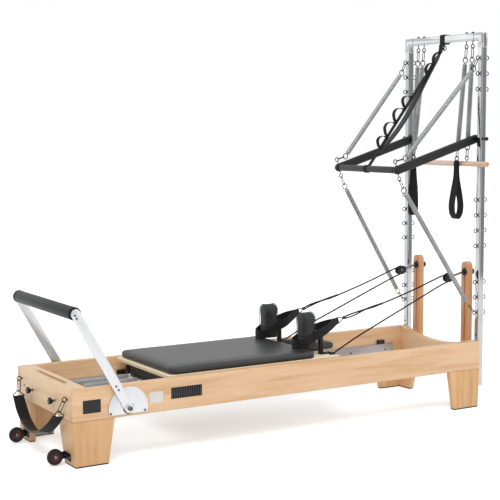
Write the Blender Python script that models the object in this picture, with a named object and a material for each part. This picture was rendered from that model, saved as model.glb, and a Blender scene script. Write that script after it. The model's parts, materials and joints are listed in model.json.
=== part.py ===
# Pilates reformer with a tower, in metres.
# +X runs from the foot end to the tower end, +Y to the far side, +Z up, and the floor is z = 0.
import math

import bmesh
import bpy
from mathutils import Matrix, Vector

GAP = 0.0003  # the seat between two pieces that touch

# Wooden frame
FRAME_LENGTH = 2.400
FRAME_WIDTH = 0.690
FRAME_TOP = 0.363
RAIL_HEIGHT = 0.152
RAIL_THICK = 0.035
END_THICK = 0.030
TOWER_END_THICK = 0.035
SCOOP_DEPTH = 0.042
SCOOP_HALF = 0.285
JUMP_SLOT_WIDTH = 0.022
JUMP_SLOT_HALF = 0.178
WINDOW_X = -0.618
WINDOW_Z = 0.291
WINDOW_LENGTH = 0.166
WINDOW_HEIGHT = 0.054
WINDOW_DEPTH = 0.012
NAME_PLATE_THICK = 0.006

# Legs, each an L of a side board and an end board that taper to the floor
LEG_THICK = 0.030
LEG_SIDE_TOP = 0.208
LEG_SIDE_FOOT = 0.164
LEG_END_TOP = 0.170
LEG_END_FOOT = 0.125
LEG_RAKE = 0.010
LEG_PAD_THICK = 0.006
LEG_PAD_INSET = 0.001

# Carriage tracks
LEDGER_THICK = 0.021
LEDGER_HEIGHT = 0.054
LEDGER_INSET = 0.002
TRACK_THICK = 0.004
TRACK_WEB = 0.047
TRACK_FOOT_X = -1.100
TRACK_TOWER_X = 1.090
STOP_LENGTH = 0.045
STOP_HEIGHT = 0.022
STOP_WIDTH = 0.018

# Carriage
CARRIAGE_FOOT_X = -0.686
BOARD_LENGTH = 0.996
BOARD_CLEARANCE = 0.020
BOARD_THICK = 0.018
BOARD_BOTTOM = 0.3455
PAD_FOOT_INSET = 0.010
PAD_LENGTH = 0.846
PAD_OVERHANG = 0.006
PAD_THICK = 0.040
PAD_CORNER = 0.040
WHEEL_RADIUS = 0.027
WHEEL_WIDTH = 0.013
AXLE_RADIUS = 0.0042
FOOT_WHEEL_X = -0.600
TOWER_WHEEL_X = 0.220
RUNNER_LENGTH = 0.050
RUNNER_THICK = 0.012
RUNNER_BAR = 0.022
CLEAT_Y = 0.238
CLEAT_LENGTH = 0.028
CLEAT_HEIGHT = 0.012
CARRIAGE_TRAVEL = 0.735
STOP_PLAY = 0.006

# Headrest
HEADREST_X = 0.193
HEADREST_LENGTH = 0.218
HEADREST_HALF = 0.120
HEADREST_THICK = 0.038
HEADREST_CORNER = 0.045

# Shoulder rests and their posts
REST_X = 0.131
REST_Y = 0.181
REST_THICK = 0.072
REST_WIDTH = 0.090
REST_HEIGHT = 0.226
REST_CORNER = 0.038
REST_EDGE = 0.012
POST_X = 0.236
POST_Y = 0.200
POST_DEPTH = 0.020
POST_WIDTH = 0.022
POST_HEIGHT = 0.126
POST_ARM = 0.030
FLANGE_LENGTH = 0.074
FLANGE_THICK = 0.005
FOOT_LOOP_END = 0.352
FOOT_LOOP_BULGE = 0.033
FOOT_LOOP_RISE = 0.120
FOOT_LOOP_WIDTH = 0.045
FOOT_LOOP_THICK = 0.004

# Footbar
FOOTBAR_SETBACK = 0.275
FOOTBAR_Z = 0.251
FOOTBAR_REACH = 0.525
FOOTBAR_LEAN = math.radians(29.4)
ARM_WIDTH = 0.046
ARM_THICK = 0.008
GRIP_RADIUS = 0.030
GRIP_CORE = 0.016
PLATE_RADIUS = 0.100
PLATE_DROP = 0.0275
PLATE_THICK = 0.006
PIVOT_RADIUS = 0.010
PIVOT_CAP = 0.020
PIVOT_CAP_THICK = 0.014

# Tower
TOWER_TOP = 2.036
TUBE_SIZE = 0.036
TUBE_WALL = 0.0025
TUBE_ROUND = 0.007
TOWER_Y = 0.3133
POST_FOOT_Z = 0.115
CROSSBAR_HEIGHT = 0.042
CORNER_DROP = 0.081
CORNER_SIZE = 0.039
EYE_RING = 0.0105
EYE_WIRE = 0.0025
EYE_STUB = 0.0015
EYE_PITCH = 0.0838
EYE_ROWS = ((0.5187, 3), (0.8847, 4))
EYE_TOP_DROP = 0.3037
EYE_TOP_COUNT = 3
HANGER_Y_INNER = 0.183
HANGER_Y_OUTER = 0.234
HANGER_DROP = 0.028
NUT_SIZE = 0.008
NUT_HEIGHT = 0.009
POST_BOLT_ROWS = (0.224, 0.316)

# Risers and pulleys
RISER_Y = 0.212
RISER_WIDTH = 0.058
RISER_THICK = 0.033
RISER_FOOT_Z = 0.235
RISER_TOP_Z = 0.790
RISER_ROUND = 0.025
RISER_SLOT = 0.010
RISER_SLOT_LOW = 0.361
RISER_SLOT_HIGH = 0.757
CARRIER_Z = 0.733
CARRIER_DISC = 0.019
CARRIER_DISC_THICK = 0.012
CARRIER_BOLT = 0.004
CARRIER_KNOB = 0.018
CARRIER_KNOB_THICK = 0.028
SHEAVE_X = 1.086
SHEAVE_Z = 0.709
SHEAVE_RADIUS = 0.022
SHEAVE_GROOVE = 0.0162
SHEAVE_WIDTH = 0.014
SHEAVE_BORE = 0.0036
CHEEK_LENGTH = 0.034
CHEEK_HEIGHT = 0.025
CHEEK_THICK = 0.003

# Push-through bar
PUSH_Z = 1.466
PUSH_REACH = 0.556
PUSH_DROP = math.radians(16.7)
PUSH_ARM_Y = 0.265
PUSH_ARM_WIDTH = 0.045
PUSH_ARM_THICK = 0.028
PUSH_TUBE_RADIUS = 0.018
PUSH_PIN_RADIUS = 0.008
PUSH_PIN_SEAT = 0.010
PUSH_EYE_OFFSET = 0.0475
PUSH_HOOK_UP = 0.064
PUSH_HOOK_LOW = 0.068
PUSH_SLACK_UP = (math.radians(32), math.radians(18))
PUSH_SLACK_LOW = (math.radians(8), math.radians(8))
LOCK_STEM = 0.006
LOCK_SEAT = 0.015
LOCK_BALL = 0.0105
LOCK_REACH = 0.024

# Springs and their rings
SPRING_RADIUS = 0.0140
SPRING_WIRE = 0.0042
SPRING_TURNS = 5
RING_RADIUS = 0.0150
RING_WIRE = 0.0021
LINK_RADIUS = 0.0075
LINK_WIRE = 0.0018
HOOK_SEAT = -0.0009
FUSED = -0.0022  # how far two wires of one piece run into each other
COIL_POINTS = 8

# Hanging bar and hand loops
DOWEL_RADIUS = 0.0145
DOWEL_NEAR_Y = -0.402
DOWEL_LENGTH = 0.655
DOWEL_DROP = 0.636
HANGER_TOP_HOOK = 0.074
ROLL_HOOK = 0.060
LOOP_HOOK = 0.058
LOOP_TOP_DROP = 0.621
LOOP_LENGTH = 0.322
LOOP_BULGE = 0.031
LOOP_THICK = 0.006
LOOP_WIDTH = 0.046
LOOP_TOP_WIDTH = 0.028
LOOP_SWING_NEAR = math.radians(5.6)
LOOP_SWING_FAR = math.radians(6.4)

# Safety strap: each ear's start along the webbing, its span and its height
STRAP_EARS = (
    (0.010, 0.070, 0.022), (0.090, 0.070, 0.026), (0.330, 0.070, 0.043), (0.415, 0.085, 0.045),
    (0.512, 0.085, 0.046), (0.607, 0.070, 0.040),
)
STRAP_SAG = 0.042
STRAP_TOP_OUT = 0.0263
STRAP_TOP_DROP = 0.016

# Carriage springs and the bar that holds them
GEAR_SPRING_RADIUS = 0.014
GEAR_SPRING_WIRE = 0.003
GEAR_SPRING_Y = (-0.150, -0.050, 0.050, 0.150)
GEAR_BAR_SETBACK = 0.180
GEAR_BAR_SIZE = 0.024
GEAR_BAR_Z = 0.262
GEAR_ANCHOR_X = -0.655
GEAR_PEG = 0.005

# Foot-end fittings
STAR_Y = 0.138
STAR_Z = 0.278
STAR_RADIUS = 0.017
STAR_STEM = 0.005
STAR_THICK = 0.014
STAR_STANDOFF = 0.018
FOOT_EYE_Y = 0.285
FOOT_EYE_Z = 0.310
FOOT_STRAP_HOOK = 0.067
FOOT_STRAP_OUT = 0.037
FOOT_STRAP_SAG = 0.123
FOOT_STRAP_WIDTH = 0.058
FOOT_STRAP_THICK = 0.006
FOOT_STRAP_STEPS = 16
CASTER_OUT = 0.049
CASTER_INSET = 0.100
CASTER_Z = 0.041
CASTER_RADIUS = 0.0375
CASTER_WIDTH = 0.022
CASTER_BORE = 0.0055
CASTER_AXLE = 0.0052
CASTER_PLATE = 0.036
CASTER_FOOT_INSET = 0.084
CASTER_FOOT_HALF = 0.037

# Ropes
ROPE_RADIUS = 0.0036
SLEEVE_RADIUS = 0.0062
SLEEVE_START = 0.500
SLEEVE_END = 0.630

FRAME_BOTTOM = FRAME_TOP - RAIL_HEIGHT
HALF_LENGTH = FRAME_LENGTH / 2
HALF_WIDTH = FRAME_WIDTH / 2
RAIL_INNER = HALF_WIDTH - RAIL_THICK
BOARD_HALF = RAIL_INNER - BOARD_CLEARANCE
PAD_HALF = BOARD_HALF + PAD_OVERHANG
FOOTBAR_X = -HALF_LENGTH + FOOTBAR_SETBACK
GEAR_BAR_X = -HALF_LENGTH + GEAR_BAR_SETBACK
CASTER_X = -HALF_LENGTH - CASTER_OUT
CASTER_Y = HALF_WIDTH - CASTER_INSET
FOOT_BLOCK_X = -HALF_LENGTH + 2 * END_THICK + JUMP_SLOT_WIDTH
TOWER_INNER_X = HALF_LENGTH - TOWER_END_THICK
TOWER_X = HALF_LENGTH + GAP + TUBE_SIZE / 2
CROSSBAR_BOTTOM = TOWER_TOP - CROSSBAR_HEIGHT
EYE_REACH = EYE_RING + EYE_WIRE + EYE_STUB
BOARD_TOP = BOARD_BOTTOM + BOARD_THICK
BOARD_TOWER_X = CARRIAGE_FOOT_X + BOARD_LENGTH
PAD_TOP = BOARD_TOP + GAP + PAD_THICK
LEDGER_TOP = FRAME_BOTTOM + LEDGER_INSET + LEDGER_HEIGHT
TRACK_TOP = LEDGER_TOP + GAP + TRACK_THICK
WHEEL_Y = RAIL_INNER - LEDGER_THICK / 2
AXLE_Z = TRACK_TOP + GAP + WHEEL_RADIUS
HANGER_Z = CROSSBAR_BOTTOM - HANGER_DROP
DOWEL_Z = HANGER_Z - DOWEL_DROP
LOOP_TOP_Z = HANGER_Z - LOOP_TOP_DROP
RISER_X = HALF_LENGTH + GAP
DOWEL_X = HALF_LENGTH - DOWEL_RADIUS - 2 * GAP


def material(name, color, roughness, metallic=0.0):
    found = bpy.data.materials.get(name)
    if found:
        return found
    made = bpy.data.materials.new(name)
    made.use_nodes = True
    shader = made.node_tree.nodes["Principled BSDF"]
    shader.inputs["Base Color"].default_value = (*color, 1.0)
    shader.inputs["Roughness"].default_value = roughness
    shader.inputs["Metallic"].default_value = metallic
    made.diffuse_color = (*color, 1.0)
    return made


def maple():
    return material("maple", (0.72, 0.48, 0.26), 0.45)


def beech():
    return material("beech", (0.62, 0.36, 0.20), 0.45)


def peeled_dowel():
    return material("peeled_dowel", (0.80, 0.62, 0.50), 0.55)


def birch_ply():
    return material("birch_ply", (0.78, 0.60, 0.40), 0.5)


def black_steel():
    return material("black_steel", (0.03, 0.03, 0.03), 0.4, 0.6)


def black_plastic():
    return material("black_plastic", (0.02, 0.02, 0.02), 0.5)


def black_rubber():
    return material("black_rubber", (0.03, 0.025, 0.022), 0.8)


def aluminium():
    return material("aluminium", (0.72, 0.73, 0.74), 0.35, 1.0)


def chrome():
    return material("chrome", (0.60, 0.61, 0.62), 0.12, 1.0)


def nickel_wire():
    return material("nickel_wire", (0.45, 0.45, 0.44), 0.3, 1.0)


def charcoal_vinyl():
    return material("charcoal_vinyl", (0.055, 0.056, 0.058), 0.5)


def black_webbing():
    return material("black_webbing", (0.015, 0.015, 0.016), 0.9)


def finish(name, bm, look, origin=(0, 0, 0)):
    # A piece is drawn in the world's place, then given its origin, which is on its joint's axis if it moves.
    bmesh.ops.recalc_face_normals(bm, faces=bm.faces)
    origin = Vector(origin)
    bmesh.ops.translate(bm, verts=bm.verts, vec=-origin)
    mesh = bpy.data.meshes.new(name)
    bm.to_mesh(mesh)
    bm.free()
    mesh.shade_smooth()
    mesh.set_sharp_from_angle(angle=math.radians(35))
    piece = bpy.data.objects.new(name, mesh)
    piece.location = origin
    piece.data.materials.append(look)
    bpy.context.collection.objects.link(piece)
    return piece


def pivot(name, place, *pieces):
    empty = bpy.data.objects.new(name, None)
    empty.location = place
    bpy.context.collection.objects.link(empty)
    for piece in pieces:
        piece.parent = empty
        piece.location = piece.location - empty.location
    return empty


def skin(bm, rings):
    # Faces between following rings of points, and one on each end.
    for ring, following in zip(rings, rings[1:]):
        for k in range(len(ring)):
            j = (k + 1) % len(ring)
            bm.faces.new((ring[k], ring[j], following[j], following[k]))
    bm.faces.new(rings[0])
    bm.faces.new(rings[-1])


def add_box(bm, low, high, edge=0.0, segments=2):
    low, high = Vector(low), Vector(high)
    made = bmesh.ops.create_cube(bm, size=1.0)["verts"]
    bmesh.ops.scale(bm, verts=made, vec=high - low)
    bmesh.ops.translate(bm, verts=made, vec=(low + high) / 2)
    if edge:
        edges = {e for v in made for e in v.link_edges}
        bmesh.ops.bevel(bm, geom=list(edges), offset=edge, segments=segments, affect="EDGES", profile=0.5)
    return made


def add_prism(bm, outline, axis, low, high):
    # The outline's two numbers are the other two axes, in X, Y, Z order.
    place = {"X": lambda a, b: (low, a, b), "Y": lambda a, b: (a, low, b), "Z": lambda a, b: (a, b, low)}
    along = {"X": (high - low, 0, 0), "Y": (0, high - low, 0), "Z": (0, 0, high - low)}
    face = bm.faces.new([bm.verts.new(place[axis](a, b)) for a, b in outline])
    made = bmesh.ops.extrude_face_region(bm, geom=[face])["geom"]
    top = [v for v in made if isinstance(v, bmesh.types.BMVert)]
    bmesh.ops.translate(bm, verts=top, vec=along[axis])
    return top


def turn_to(axis):
    # The matrix that stands a shape made along +Z up along the given direction.
    return Vector((0, 0, 1)).rotation_difference(Vector(axis)).to_matrix().to_4x4()


def add_turned(bm, profile, centre, axis, sides=12):
    # The profile is (distance along the axis, radius) from end to end, with a flat disc on each end.
    rings = []
    place = Matrix.Translation(Vector(centre)) @ turn_to(axis)
    for along, radius in profile:
        ring = []
        for k in range(sides):
            angle = 2 * math.pi * (k + 0.5) / sides
            spot = (radius * math.cos(angle), radius * math.sin(angle), along)
            ring.append(bm.verts.new(place @ Vector(spot)))
        rings.append(ring)
    skin(bm, rings)


def add_bored(bm, profile, bore, centre, axis, sides=12):
    # A turned shape with a hole of one radius down its axis.
    start, end = profile[0][0], profile[-1][0]
    closed = [(start, bore)] + list(profile) + [(end, bore)]
    rings = []
    place = Matrix.Translation(Vector(centre)) @ turn_to(axis)
    for along, radius in closed:
        ring = []
        for k in range(sides):
            angle = 2 * math.pi * (k + 0.5) / sides
            spot = (radius * math.cos(angle), radius * math.sin(angle), along)
            ring.append(bm.verts.new(place @ Vector(spot)))
        rings.append(ring)
    for n, ring in enumerate(rings):
        following = rings[(n + 1) % len(rings)]
        for k in range(sides):
            j = (k + 1) % sides
            bm.faces.new((ring[k], ring[j], following[j], following[k]))


def add_loop(bm, points, wire, normal, sides=3):
    # A closed wire through the points of a flat loop.
    normal = Vector(normal).normalized()
    points = [Vector(p) for p in points]
    rings = []
    for n, point in enumerate(points):
        ahead = (points[(n + 1) % len(points)] - points[n - 1]).normalized()
        out = ahead.cross(normal).normalized()
        ring = []
        for k in range(sides):
            angle = 2 * math.pi * (k + 0.5) / sides
            ring.append(bm.verts.new(point + wire * (math.cos(angle) * out + math.sin(angle) * normal)))
        rings.append(ring)
    faces = []
    for n, ring in enumerate(rings):
        following = rings[(n + 1) % len(rings)]
        for k in range(sides):
            j = (k + 1) % sides
            faces.append(bm.faces.new((ring[k], ring[j], following[j], following[k])))
    return faces


def ring_points(centre, radius, normal, count, start=(0, 0, 1)):
    # The radius is measured to the middle of a side, and one side faces the start.
    centre, normal, start = Vector(centre), Vector(normal).normalized(), Vector(start)
    first = (start - start.dot(normal) * normal).normalized()
    second = normal.cross(first)
    turns = [2 * math.pi * (k + 0.5) / count for k in range(count)]
    reach = radius / math.cos(math.pi / count)
    return [centre + reach * (math.cos(a) * first + math.sin(a) * second) for a in turns]


def add_ring(bm, centre, radius, wire, normal, start=(0, 0, 1), count=6):
    return add_loop(bm, ring_points(centre, radius, normal, count, start), wire, normal)


def add_eye(bm, centre, towards, normal, stub, ring=EYE_RING, wire=EYE_WIRE):
    # A ring with a square shank that runs from the ring's outside towards what carries it.
    centre, towards = Vector(centre), Vector(towards).normalized()
    faces = add_ring(bm, centre, ring, wire, normal, towards)
    bm.normal_update()
    reach = centre + towards * (ring + wire)
    near = [f for f in faces if (f.calc_center_median() - reach).length < wire * 2.2]
    near.sort(key=lambda f: (f.calc_center_median() - reach).length)
    made = bmesh.ops.extrude_face_region(bm, geom=[near[0]])["geom"]
    end = [v for v in made if isinstance(v, bmesh.types.BMVert)]
    bmesh.ops.delete(bm, geom=[near[0]], context="FACES_ONLY")
    goal = centre + towards * (ring + wire + stub)
    for v in end:
        v.co += towards * (goal - v.co).dot(towards)


def add_link(bm, start, end, wire, normal, radius):
    # A long link whose rounded ends are centred on start and end.
    start, end, normal = Vector(start), Vector(end), Vector(normal).normalized()
    along = (end - start).normalized()
    side = along.cross(normal).normalized()
    points = []
    for centre, way in ((end, 1), (start, -1)):
        for out, on in ((-1, 0), (-0.5, 1), (0.5, 1), (1, 0)):
            points.append(centre + way * radius * (out * side + on * along))
    add_loop(bm, points, wire, side.cross(along))


def hook_up(bm, ring, ring_radius, ring_wire, eye, eye_radius, eye_wire, normal, ring_room, eye_room):
    # A long link caught in a ring and in an eye, on edge to their plane, with the given room at each.
    ring, eye = Vector(ring), Vector(eye)
    along = (eye - ring).normalized()
    start = ring + along * (ring_radius - ring_wire - LINK_WIRE - ring_room + LINK_RADIUS)
    end = eye - along * (eye_radius - eye_wire - LINK_WIRE - eye_room + LINK_RADIUS)
    add_link(bm, start, end, LINK_WIRE, Vector(normal).cross(along), LINK_RADIUS)


def smooth_route(route, count, closed=False):
    # A Catmull-Rom curve through the route's points.
    points = [Vector(p) for p in route]
    if closed:
        points = [points[-1]] + points + points[:2]
    else:
        points = [2 * points[0] - points[1]] + points + [2 * points[-1] - points[-2]]
    spans = len(points) - 3
    steps = count if closed else count - 1
    made = []
    for n in range(count):
        at = spans * n / steps
        k = min(int(at), spans - 1)
        t = at - k
        a, b, c, d = points[k : k + 4]
        made.append(
            0.5 * (2 * b + (c - a) * t + (2 * a - 5 * b + 4 * c - d) * t * t)
            + 0.5 * (3 * b - a - 3 * c + d) * t * t * t
        )
    return made


def add_tube(bm, run, wire, sides=6):
    # A round tube with closed ends along a run of points, its section carried along without a twist.
    out = (run[1] - run[0]).orthogonal().normalized()
    rings = []
    for n, point in enumerate(run):
        ahead = (run[min(n + 1, len(run) - 1)] - run[max(n - 1, 0)]).normalized()
        out = (out - out.dot(ahead) * ahead).normalized()
        side = ahead.cross(out)
        ring = []
        for k in range(sides):
            angle = 2 * math.pi * k / sides
            ring.append(bm.verts.new(point + wire * (math.cos(angle) * out + math.sin(angle) * side)))
        rings.append(ring)
    skin(bm, rings)


def tube_curve(name, runs, radius, resolution, look, origin=(0, 0, 0), swell=None):
    # A round tube with filled ends along each run of points.
    curve = bpy.data.curves.new(name, "CURVE")
    curve.dimensions = "3D"
    curve.bevel_depth = radius
    curve.bevel_resolution = resolution
    curve.use_fill_caps = True
    origin = Vector(origin)
    for run in runs:
        spline = curve.splines.new("POLY")
        spline.points.add(len(run) - 1)
        for n, (point, at) in enumerate(zip(spline.points, run)):
            point.co = (*(at - origin), 1.0)
            if swell:
                point.radius = swell[n]
    piece = bpy.data.objects.new(name, curve)
    piece.location = origin
    curve.materials.append(look)
    bpy.context.collection.objects.link(piece)
    return piece


def coil_run(start, end, radius, turns, lead):
    # A coil between two points, with a straight lead on its axis at each end.
    start, end = Vector(start), Vector(end)
    axis = (end - start).normalized()
    out = axis.orthogonal().normalized()
    side = axis.cross(out)
    body = (end - start).length - 2 * lead
    steps = turns * COIL_POINTS
    run = [start]
    for n in range(steps + 1):
        share = n / steps
        ramp = min(1.0, min(n, steps - n) * 2.0 / COIL_POINTS)
        angle = 2 * math.pi * turns * share
        centre = start + axis * (lead + body * share)
        run.append(centre + ramp * radius * (math.cos(angle) * out + math.sin(angle) * side))
    run.append(end)
    return run


def least_gap(run, wire, skip):
    # The least clear distance between parts of one tube that lie more than skip points apart.
    near = min(
        (run[a] - run[b]).length for a in range(len(run)) for b in range(a + skip, len(run))
    )
    return near - 2 * wire


def add_coils(bm, name, ends, radius, wire, turns):
    # One unbroken tube for each spring, and the least gap that it leaves to itself.
    runs = [coil_run(a, b, radius - wire, turns, 2 * wire) for a, b in ends]
    for run in runs:
        add_tube(bm, run, wire)
    gap = min(least_gap(run, wire, COIL_POINTS // 2 + 1) for run in runs)
    print(f"{name}: least gap of a spring to itself {gap * 1000:.2f} mm")


def combine(piece, other, operation):
    other.hide_render = True
    other.display_type = "WIRE"
    change = piece.modifiers.new(operation.lower(), "BOOLEAN")
    change.operation = operation
    change.solver = "EXACT"
    change.object = other


def cut(piece, cutter):
    combine(piece, cutter, "DIFFERENCE")


def fuse(piece, bm, origin=(0, 0, 0)):
    # Shapes that overlap a piece become one solid with it.
    look = piece.data.materials[0]
    combine(piece, finish(f"{piece.name}_added", bm, look, origin), "UNION")


def arc(centre, radius, start, end, count):
    turns = [start + (end - start) * k / (count - 1) for k in range(count)]
    return [(centre[0] + radius * math.cos(a), centre[1] + radius * math.sin(a)) for a in turns]


def capsule(start, end, radius, count=7):
    # A bar's outline with half-round ends, in the XZ plane.
    lean = math.atan2(end[1] - start[1], end[0] - start[0])
    quarter = math.pi / 2
    return arc(end, radius, lean - quarter, lean + quarter, count) + arc(
        start, radius, lean + quarter, lean + 3 * quarter, count
    )


def rounded(half_x, half_y, corner, count=5):
    points = []
    for sx, sy, start in ((1, 1, 0), (-1, 1, 1), (-1, -1, 2), (1, -1, 3)):
        centre = (sx * (half_x - corner), sy * (half_y - corner))
        points += arc(centre, corner, start * math.pi / 2, (start + 1) * math.pi / 2, count)
    return points


def cushion(name, low, high, corner, crown, look, origin=(0, 0, 0)):
    # A sewn pad: sides drawn in at the foot and the top seam, and a crowned top.
    bm = bmesh.new()
    middle = [(a + b) / 2 for a, b in zip(low, high)]
    half_x, half_y = (high[0] - low[0]) / 2, (high[1] - low[1]) / 2
    thick = high[2] - low[2]
    top = thick - crown
    levels = (
        (0.006, 0.0), (0.001, 0.20 * thick), (0.0, 0.45 * thick), (0.0015, 0.68 * thick),
        (0.006, 0.86 * top), (0.014, 0.97 * top), (0.030, top + 0.35 * crown),
        (0.055, top + 0.75 * crown), (0.085, top + crown),
    )
    rings = []
    for inset, height in levels:
        outline = rounded(half_x - inset, half_y - inset, max(corner - inset, 0.006))
        rings.append([bm.verts.new((middle[0] + x, middle[1] + y, low[2] + height)) for x, y in outline])
    skin(bm, rings)
    return finish(name, bm, look, origin)


def add_band(bm, path, width_of, thick, closed, width):
    # A flat strap along a path; width_of gives the direction of its width at each point.
    rings = []
    count = len(path)
    for n, point in enumerate(path):
        if closed:
            ahead = (path[(n + 1) % count] - path[n - 1]).normalized()
        else:
            ahead = (path[min(n + 1, count - 1)] - path[max(n - 1, 0)]).normalized()
        broad = Vector(width_of(n)).normalized()
        broad = (broad - broad.dot(ahead) * ahead).normalized()
        flat = ahead.cross(broad).normalized()
        half = width[n] / 2 if isinstance(width, list) else width / 2
        corners = ((-1, -1), (1, -1), (1, 1), (-1, 1))
        rings.append([bm.verts.new(point + a * half * broad + b * thick / 2 * flat) for a, b in corners])
    for n in range(count if closed else count - 1):
        ring, following = rings[n], rings[(n + 1) % count]
        for k in range(4):
            j = (k + 1) % 4
            bm.faces.new((ring[k], ring[j], following[j], following[k]))
    if not closed:
        bm.faces.new(rings[0])
        bm.faces.new(rings[-1])


# Wooden frame


def side_rail(name, side):
    # The rail with the ledger glued along the foot of its inner face.
    bm = bmesh.new()
    inner, outer = sorted((side * RAIL_INNER, side * HALF_WIDTH))
    add_box(bm, (-HALF_LENGTH, inner, FRAME_BOTTOM), (HALF_LENGTH, outer, FRAME_TOP), 0.003, 1)
    rail = finish(name, bm, maple())
    bm = bmesh.new()
    low, high = sorted((side * (RAIL_INNER - LEDGER_THICK), side * (RAIL_INNER + 0.010)))
    base = FRAME_BOTTOM + LEDGER_INSET
    add_box(bm, (FOOT_BLOCK_X + GAP, low, base), (TOWER_INNER_X - GAP, high, base + LEDGER_HEIGHT))
    fuse(rail, bm)
    return rail


def rail_window(rail):
    # The pocket in the near rail's outer face that holds the name plate.
    half_x, half_z = WINDOW_LENGTH / 2, WINDOW_HEIGHT / 2
    bm = bmesh.new()
    low = (WINDOW_X - half_x, -HALF_WIDTH - WINDOW_DEPTH, WINDOW_Z - half_z)
    high = (WINDOW_X + half_x, -HALF_WIDTH + WINDOW_DEPTH, WINDOW_Z + half_z)
    add_box(bm, low, high)
    cut(rail, finish("window_cutter", bm, maple()))
    bm = bmesh.new()
    back = -HALF_WIDTH + WINDOW_DEPTH - GAP
    low = (WINDOW_X - half_x + GAP, back - NAME_PLATE_THICK, WINDOW_Z - half_z + GAP)
    high = (WINDOW_X + half_x - GAP, back, WINDOW_Z + half_z - GAP)
    add_box(bm, low, high)
    return finish("name_plate", bm, black_plastic())


def foot_end_board():
    # Two boards and the packers between them, which leave the jump board's slot.
    side = RAIL_INNER - GAP
    bm = bmesh.new()
    add_box(bm, (-HALF_LENGTH, -side, FRAME_BOTTOM), (FOOT_BLOCK_X, side, FRAME_TOP), 0.003, 1)
    board = finish("foot_end_board", bm, maple())
    bm = bmesh.new()
    start = -HALF_LENGTH + END_THICK
    low = (start, -JUMP_SLOT_HALF, FRAME_BOTTOM - 0.01)
    add_box(bm, low, (start + JUMP_SLOT_WIDTH, JUMP_SLOT_HALF, FRAME_TOP + 0.01))
    cut(board, finish("jump_slot_cutter", bm, maple()))
    return board


def tower_end_board():
    side = RAIL_INNER - GAP
    radius = (SCOOP_HALF**2 + SCOOP_DEPTH**2) / (2 * SCOOP_DEPTH)
    half = math.asin(SCOOP_HALF / radius)
    down = -math.pi / 2
    scoop = arc((0, FRAME_TOP - SCOOP_DEPTH + radius), radius, down - half, down + half, 15)
    outline = [(side, FRAME_BOTTOM), (side, FRAME_TOP)] + scoop[::-1]
    outline += [(-side, FRAME_TOP), (-side, FRAME_BOTTOM)]
    bm = bmesh.new()
    add_prism(bm, outline, "X", TOWER_INNER_X, HALF_LENGTH)
    return finish("tower_end_board", bm, maple())


def leg_outline(x_sign, y_sign, height, inset):
    # The L of one leg at a height, tapering from the frame's underside to the floor.
    share = height / FRAME_BOTTOM
    outer = HALF_LENGTH - LEG_RAKE * (1 - share)
    side_x = outer - (LEG_SIDE_FOOT + (LEG_SIDE_TOP - LEG_SIDE_FOOT) * share)
    end_y = HALF_WIDTH - (LEG_END_FOOT + (LEG_END_TOP - LEG_END_FOOT) * share)
    inner_x, inner_y = outer - LEG_THICK + inset, HALF_WIDTH - LEG_THICK + inset
    corners = [
        (outer - inset, HALF_WIDTH - inset), (side_x + inset, HALF_WIDTH - inset),
        (side_x + inset, inner_y), (inner_x, inner_y),
        (inner_x, end_y + inset), (outer - inset, end_y + inset),
    ]
    return [(x_sign * x, y_sign * y) for x, y in corners]


def leg(name, x_sign, y_sign):
    # The leg stands on a thin pad, drawn in a little from its edges.
    bm = bmesh.new()
    levels = ((0.0, LEG_PAD_INSET), (LEG_PAD_THICK, LEG_PAD_INSET))
    levels += ((LEG_PAD_THICK, 0.0), (FRAME_BOTTOM - GAP, 0.0))
    rings = []
    for height, inset in levels:
        outline = leg_outline(x_sign, y_sign, height, inset)
        rings.append([bm.verts.new((x, y, height)) for x, y in outline])
    skin(bm, rings)
    return finish(name, bm, maple())


def track(name, side):
    # A folded strip on the ledger, and a stop block above each end of the wheels' travel.
    outer = RAIL_INNER - GAP
    web = RAIL_INNER - LEDGER_THICK - GAP - TRACK_THICK
    ledge = LEDGER_TOP + GAP
    outline = [
        (outer, TRACK_TOP), (web, TRACK_TOP), (web, TRACK_TOP - TRACK_WEB),
        (web + TRACK_THICK, TRACK_TOP - TRACK_WEB), (web + TRACK_THICK, ledge), (outer, ledge),
    ]
    bm = bmesh.new()
    add_prism(bm, [(side * y, z) for y, z in outline], "X", TRACK_FOOT_X, TRACK_TOWER_X)
    strip = finish(name, bm, aluminium())
    bm = bmesh.new()
    foot = FOOT_WHEEL_X - WHEEL_RADIUS - STOP_PLAY - STOP_LENGTH
    tower = TOWER_WHEEL_X + CARRIAGE_TRAVEL + WHEEL_RADIUS + STOP_PLAY
    for start in (foot, tower):
        low = (start, side * WHEEL_Y - STOP_WIDTH / 2, TRACK_TOP - 0.001)
        high = (start + STOP_LENGTH, side * WHEEL_Y + STOP_WIDTH / 2, TRACK_TOP + STOP_HEIGHT)
        add_box(bm, low, high)
    fuse(strip, bm)
    return strip


# Carriage springs


def spring_bar():
    # The bar across the foot end, between the tracks, with a peg for each spring.
    web = RAIL_INNER - LEDGER_THICK - GAP - TRACK_THICK - GAP
    half = GEAR_BAR_SIZE / 2
    bm = bmesh.new()
    low = (GEAR_BAR_X - half, -web, GEAR_BAR_Z - half)
    add_box(bm, low, (GEAR_BAR_X + half, web, GEAR_BAR_Z + half), 0.003, 1)
    bar = finish("spring_bar", bm, black_steel())
    bm = bmesh.new()
    for y in GEAR_SPRING_Y:
        base = (GEAR_BAR_X, y, GEAR_BAR_Z + half - 0.002)
        profile = [(0, GEAR_PEG), (0.020, GEAR_PEG), (0.020, 0.008), (0.026, 0.008)]
        add_turned(bm, profile, base, (0, 0, 1), 6)
    fuse(bar, bm)
    return bar


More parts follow.
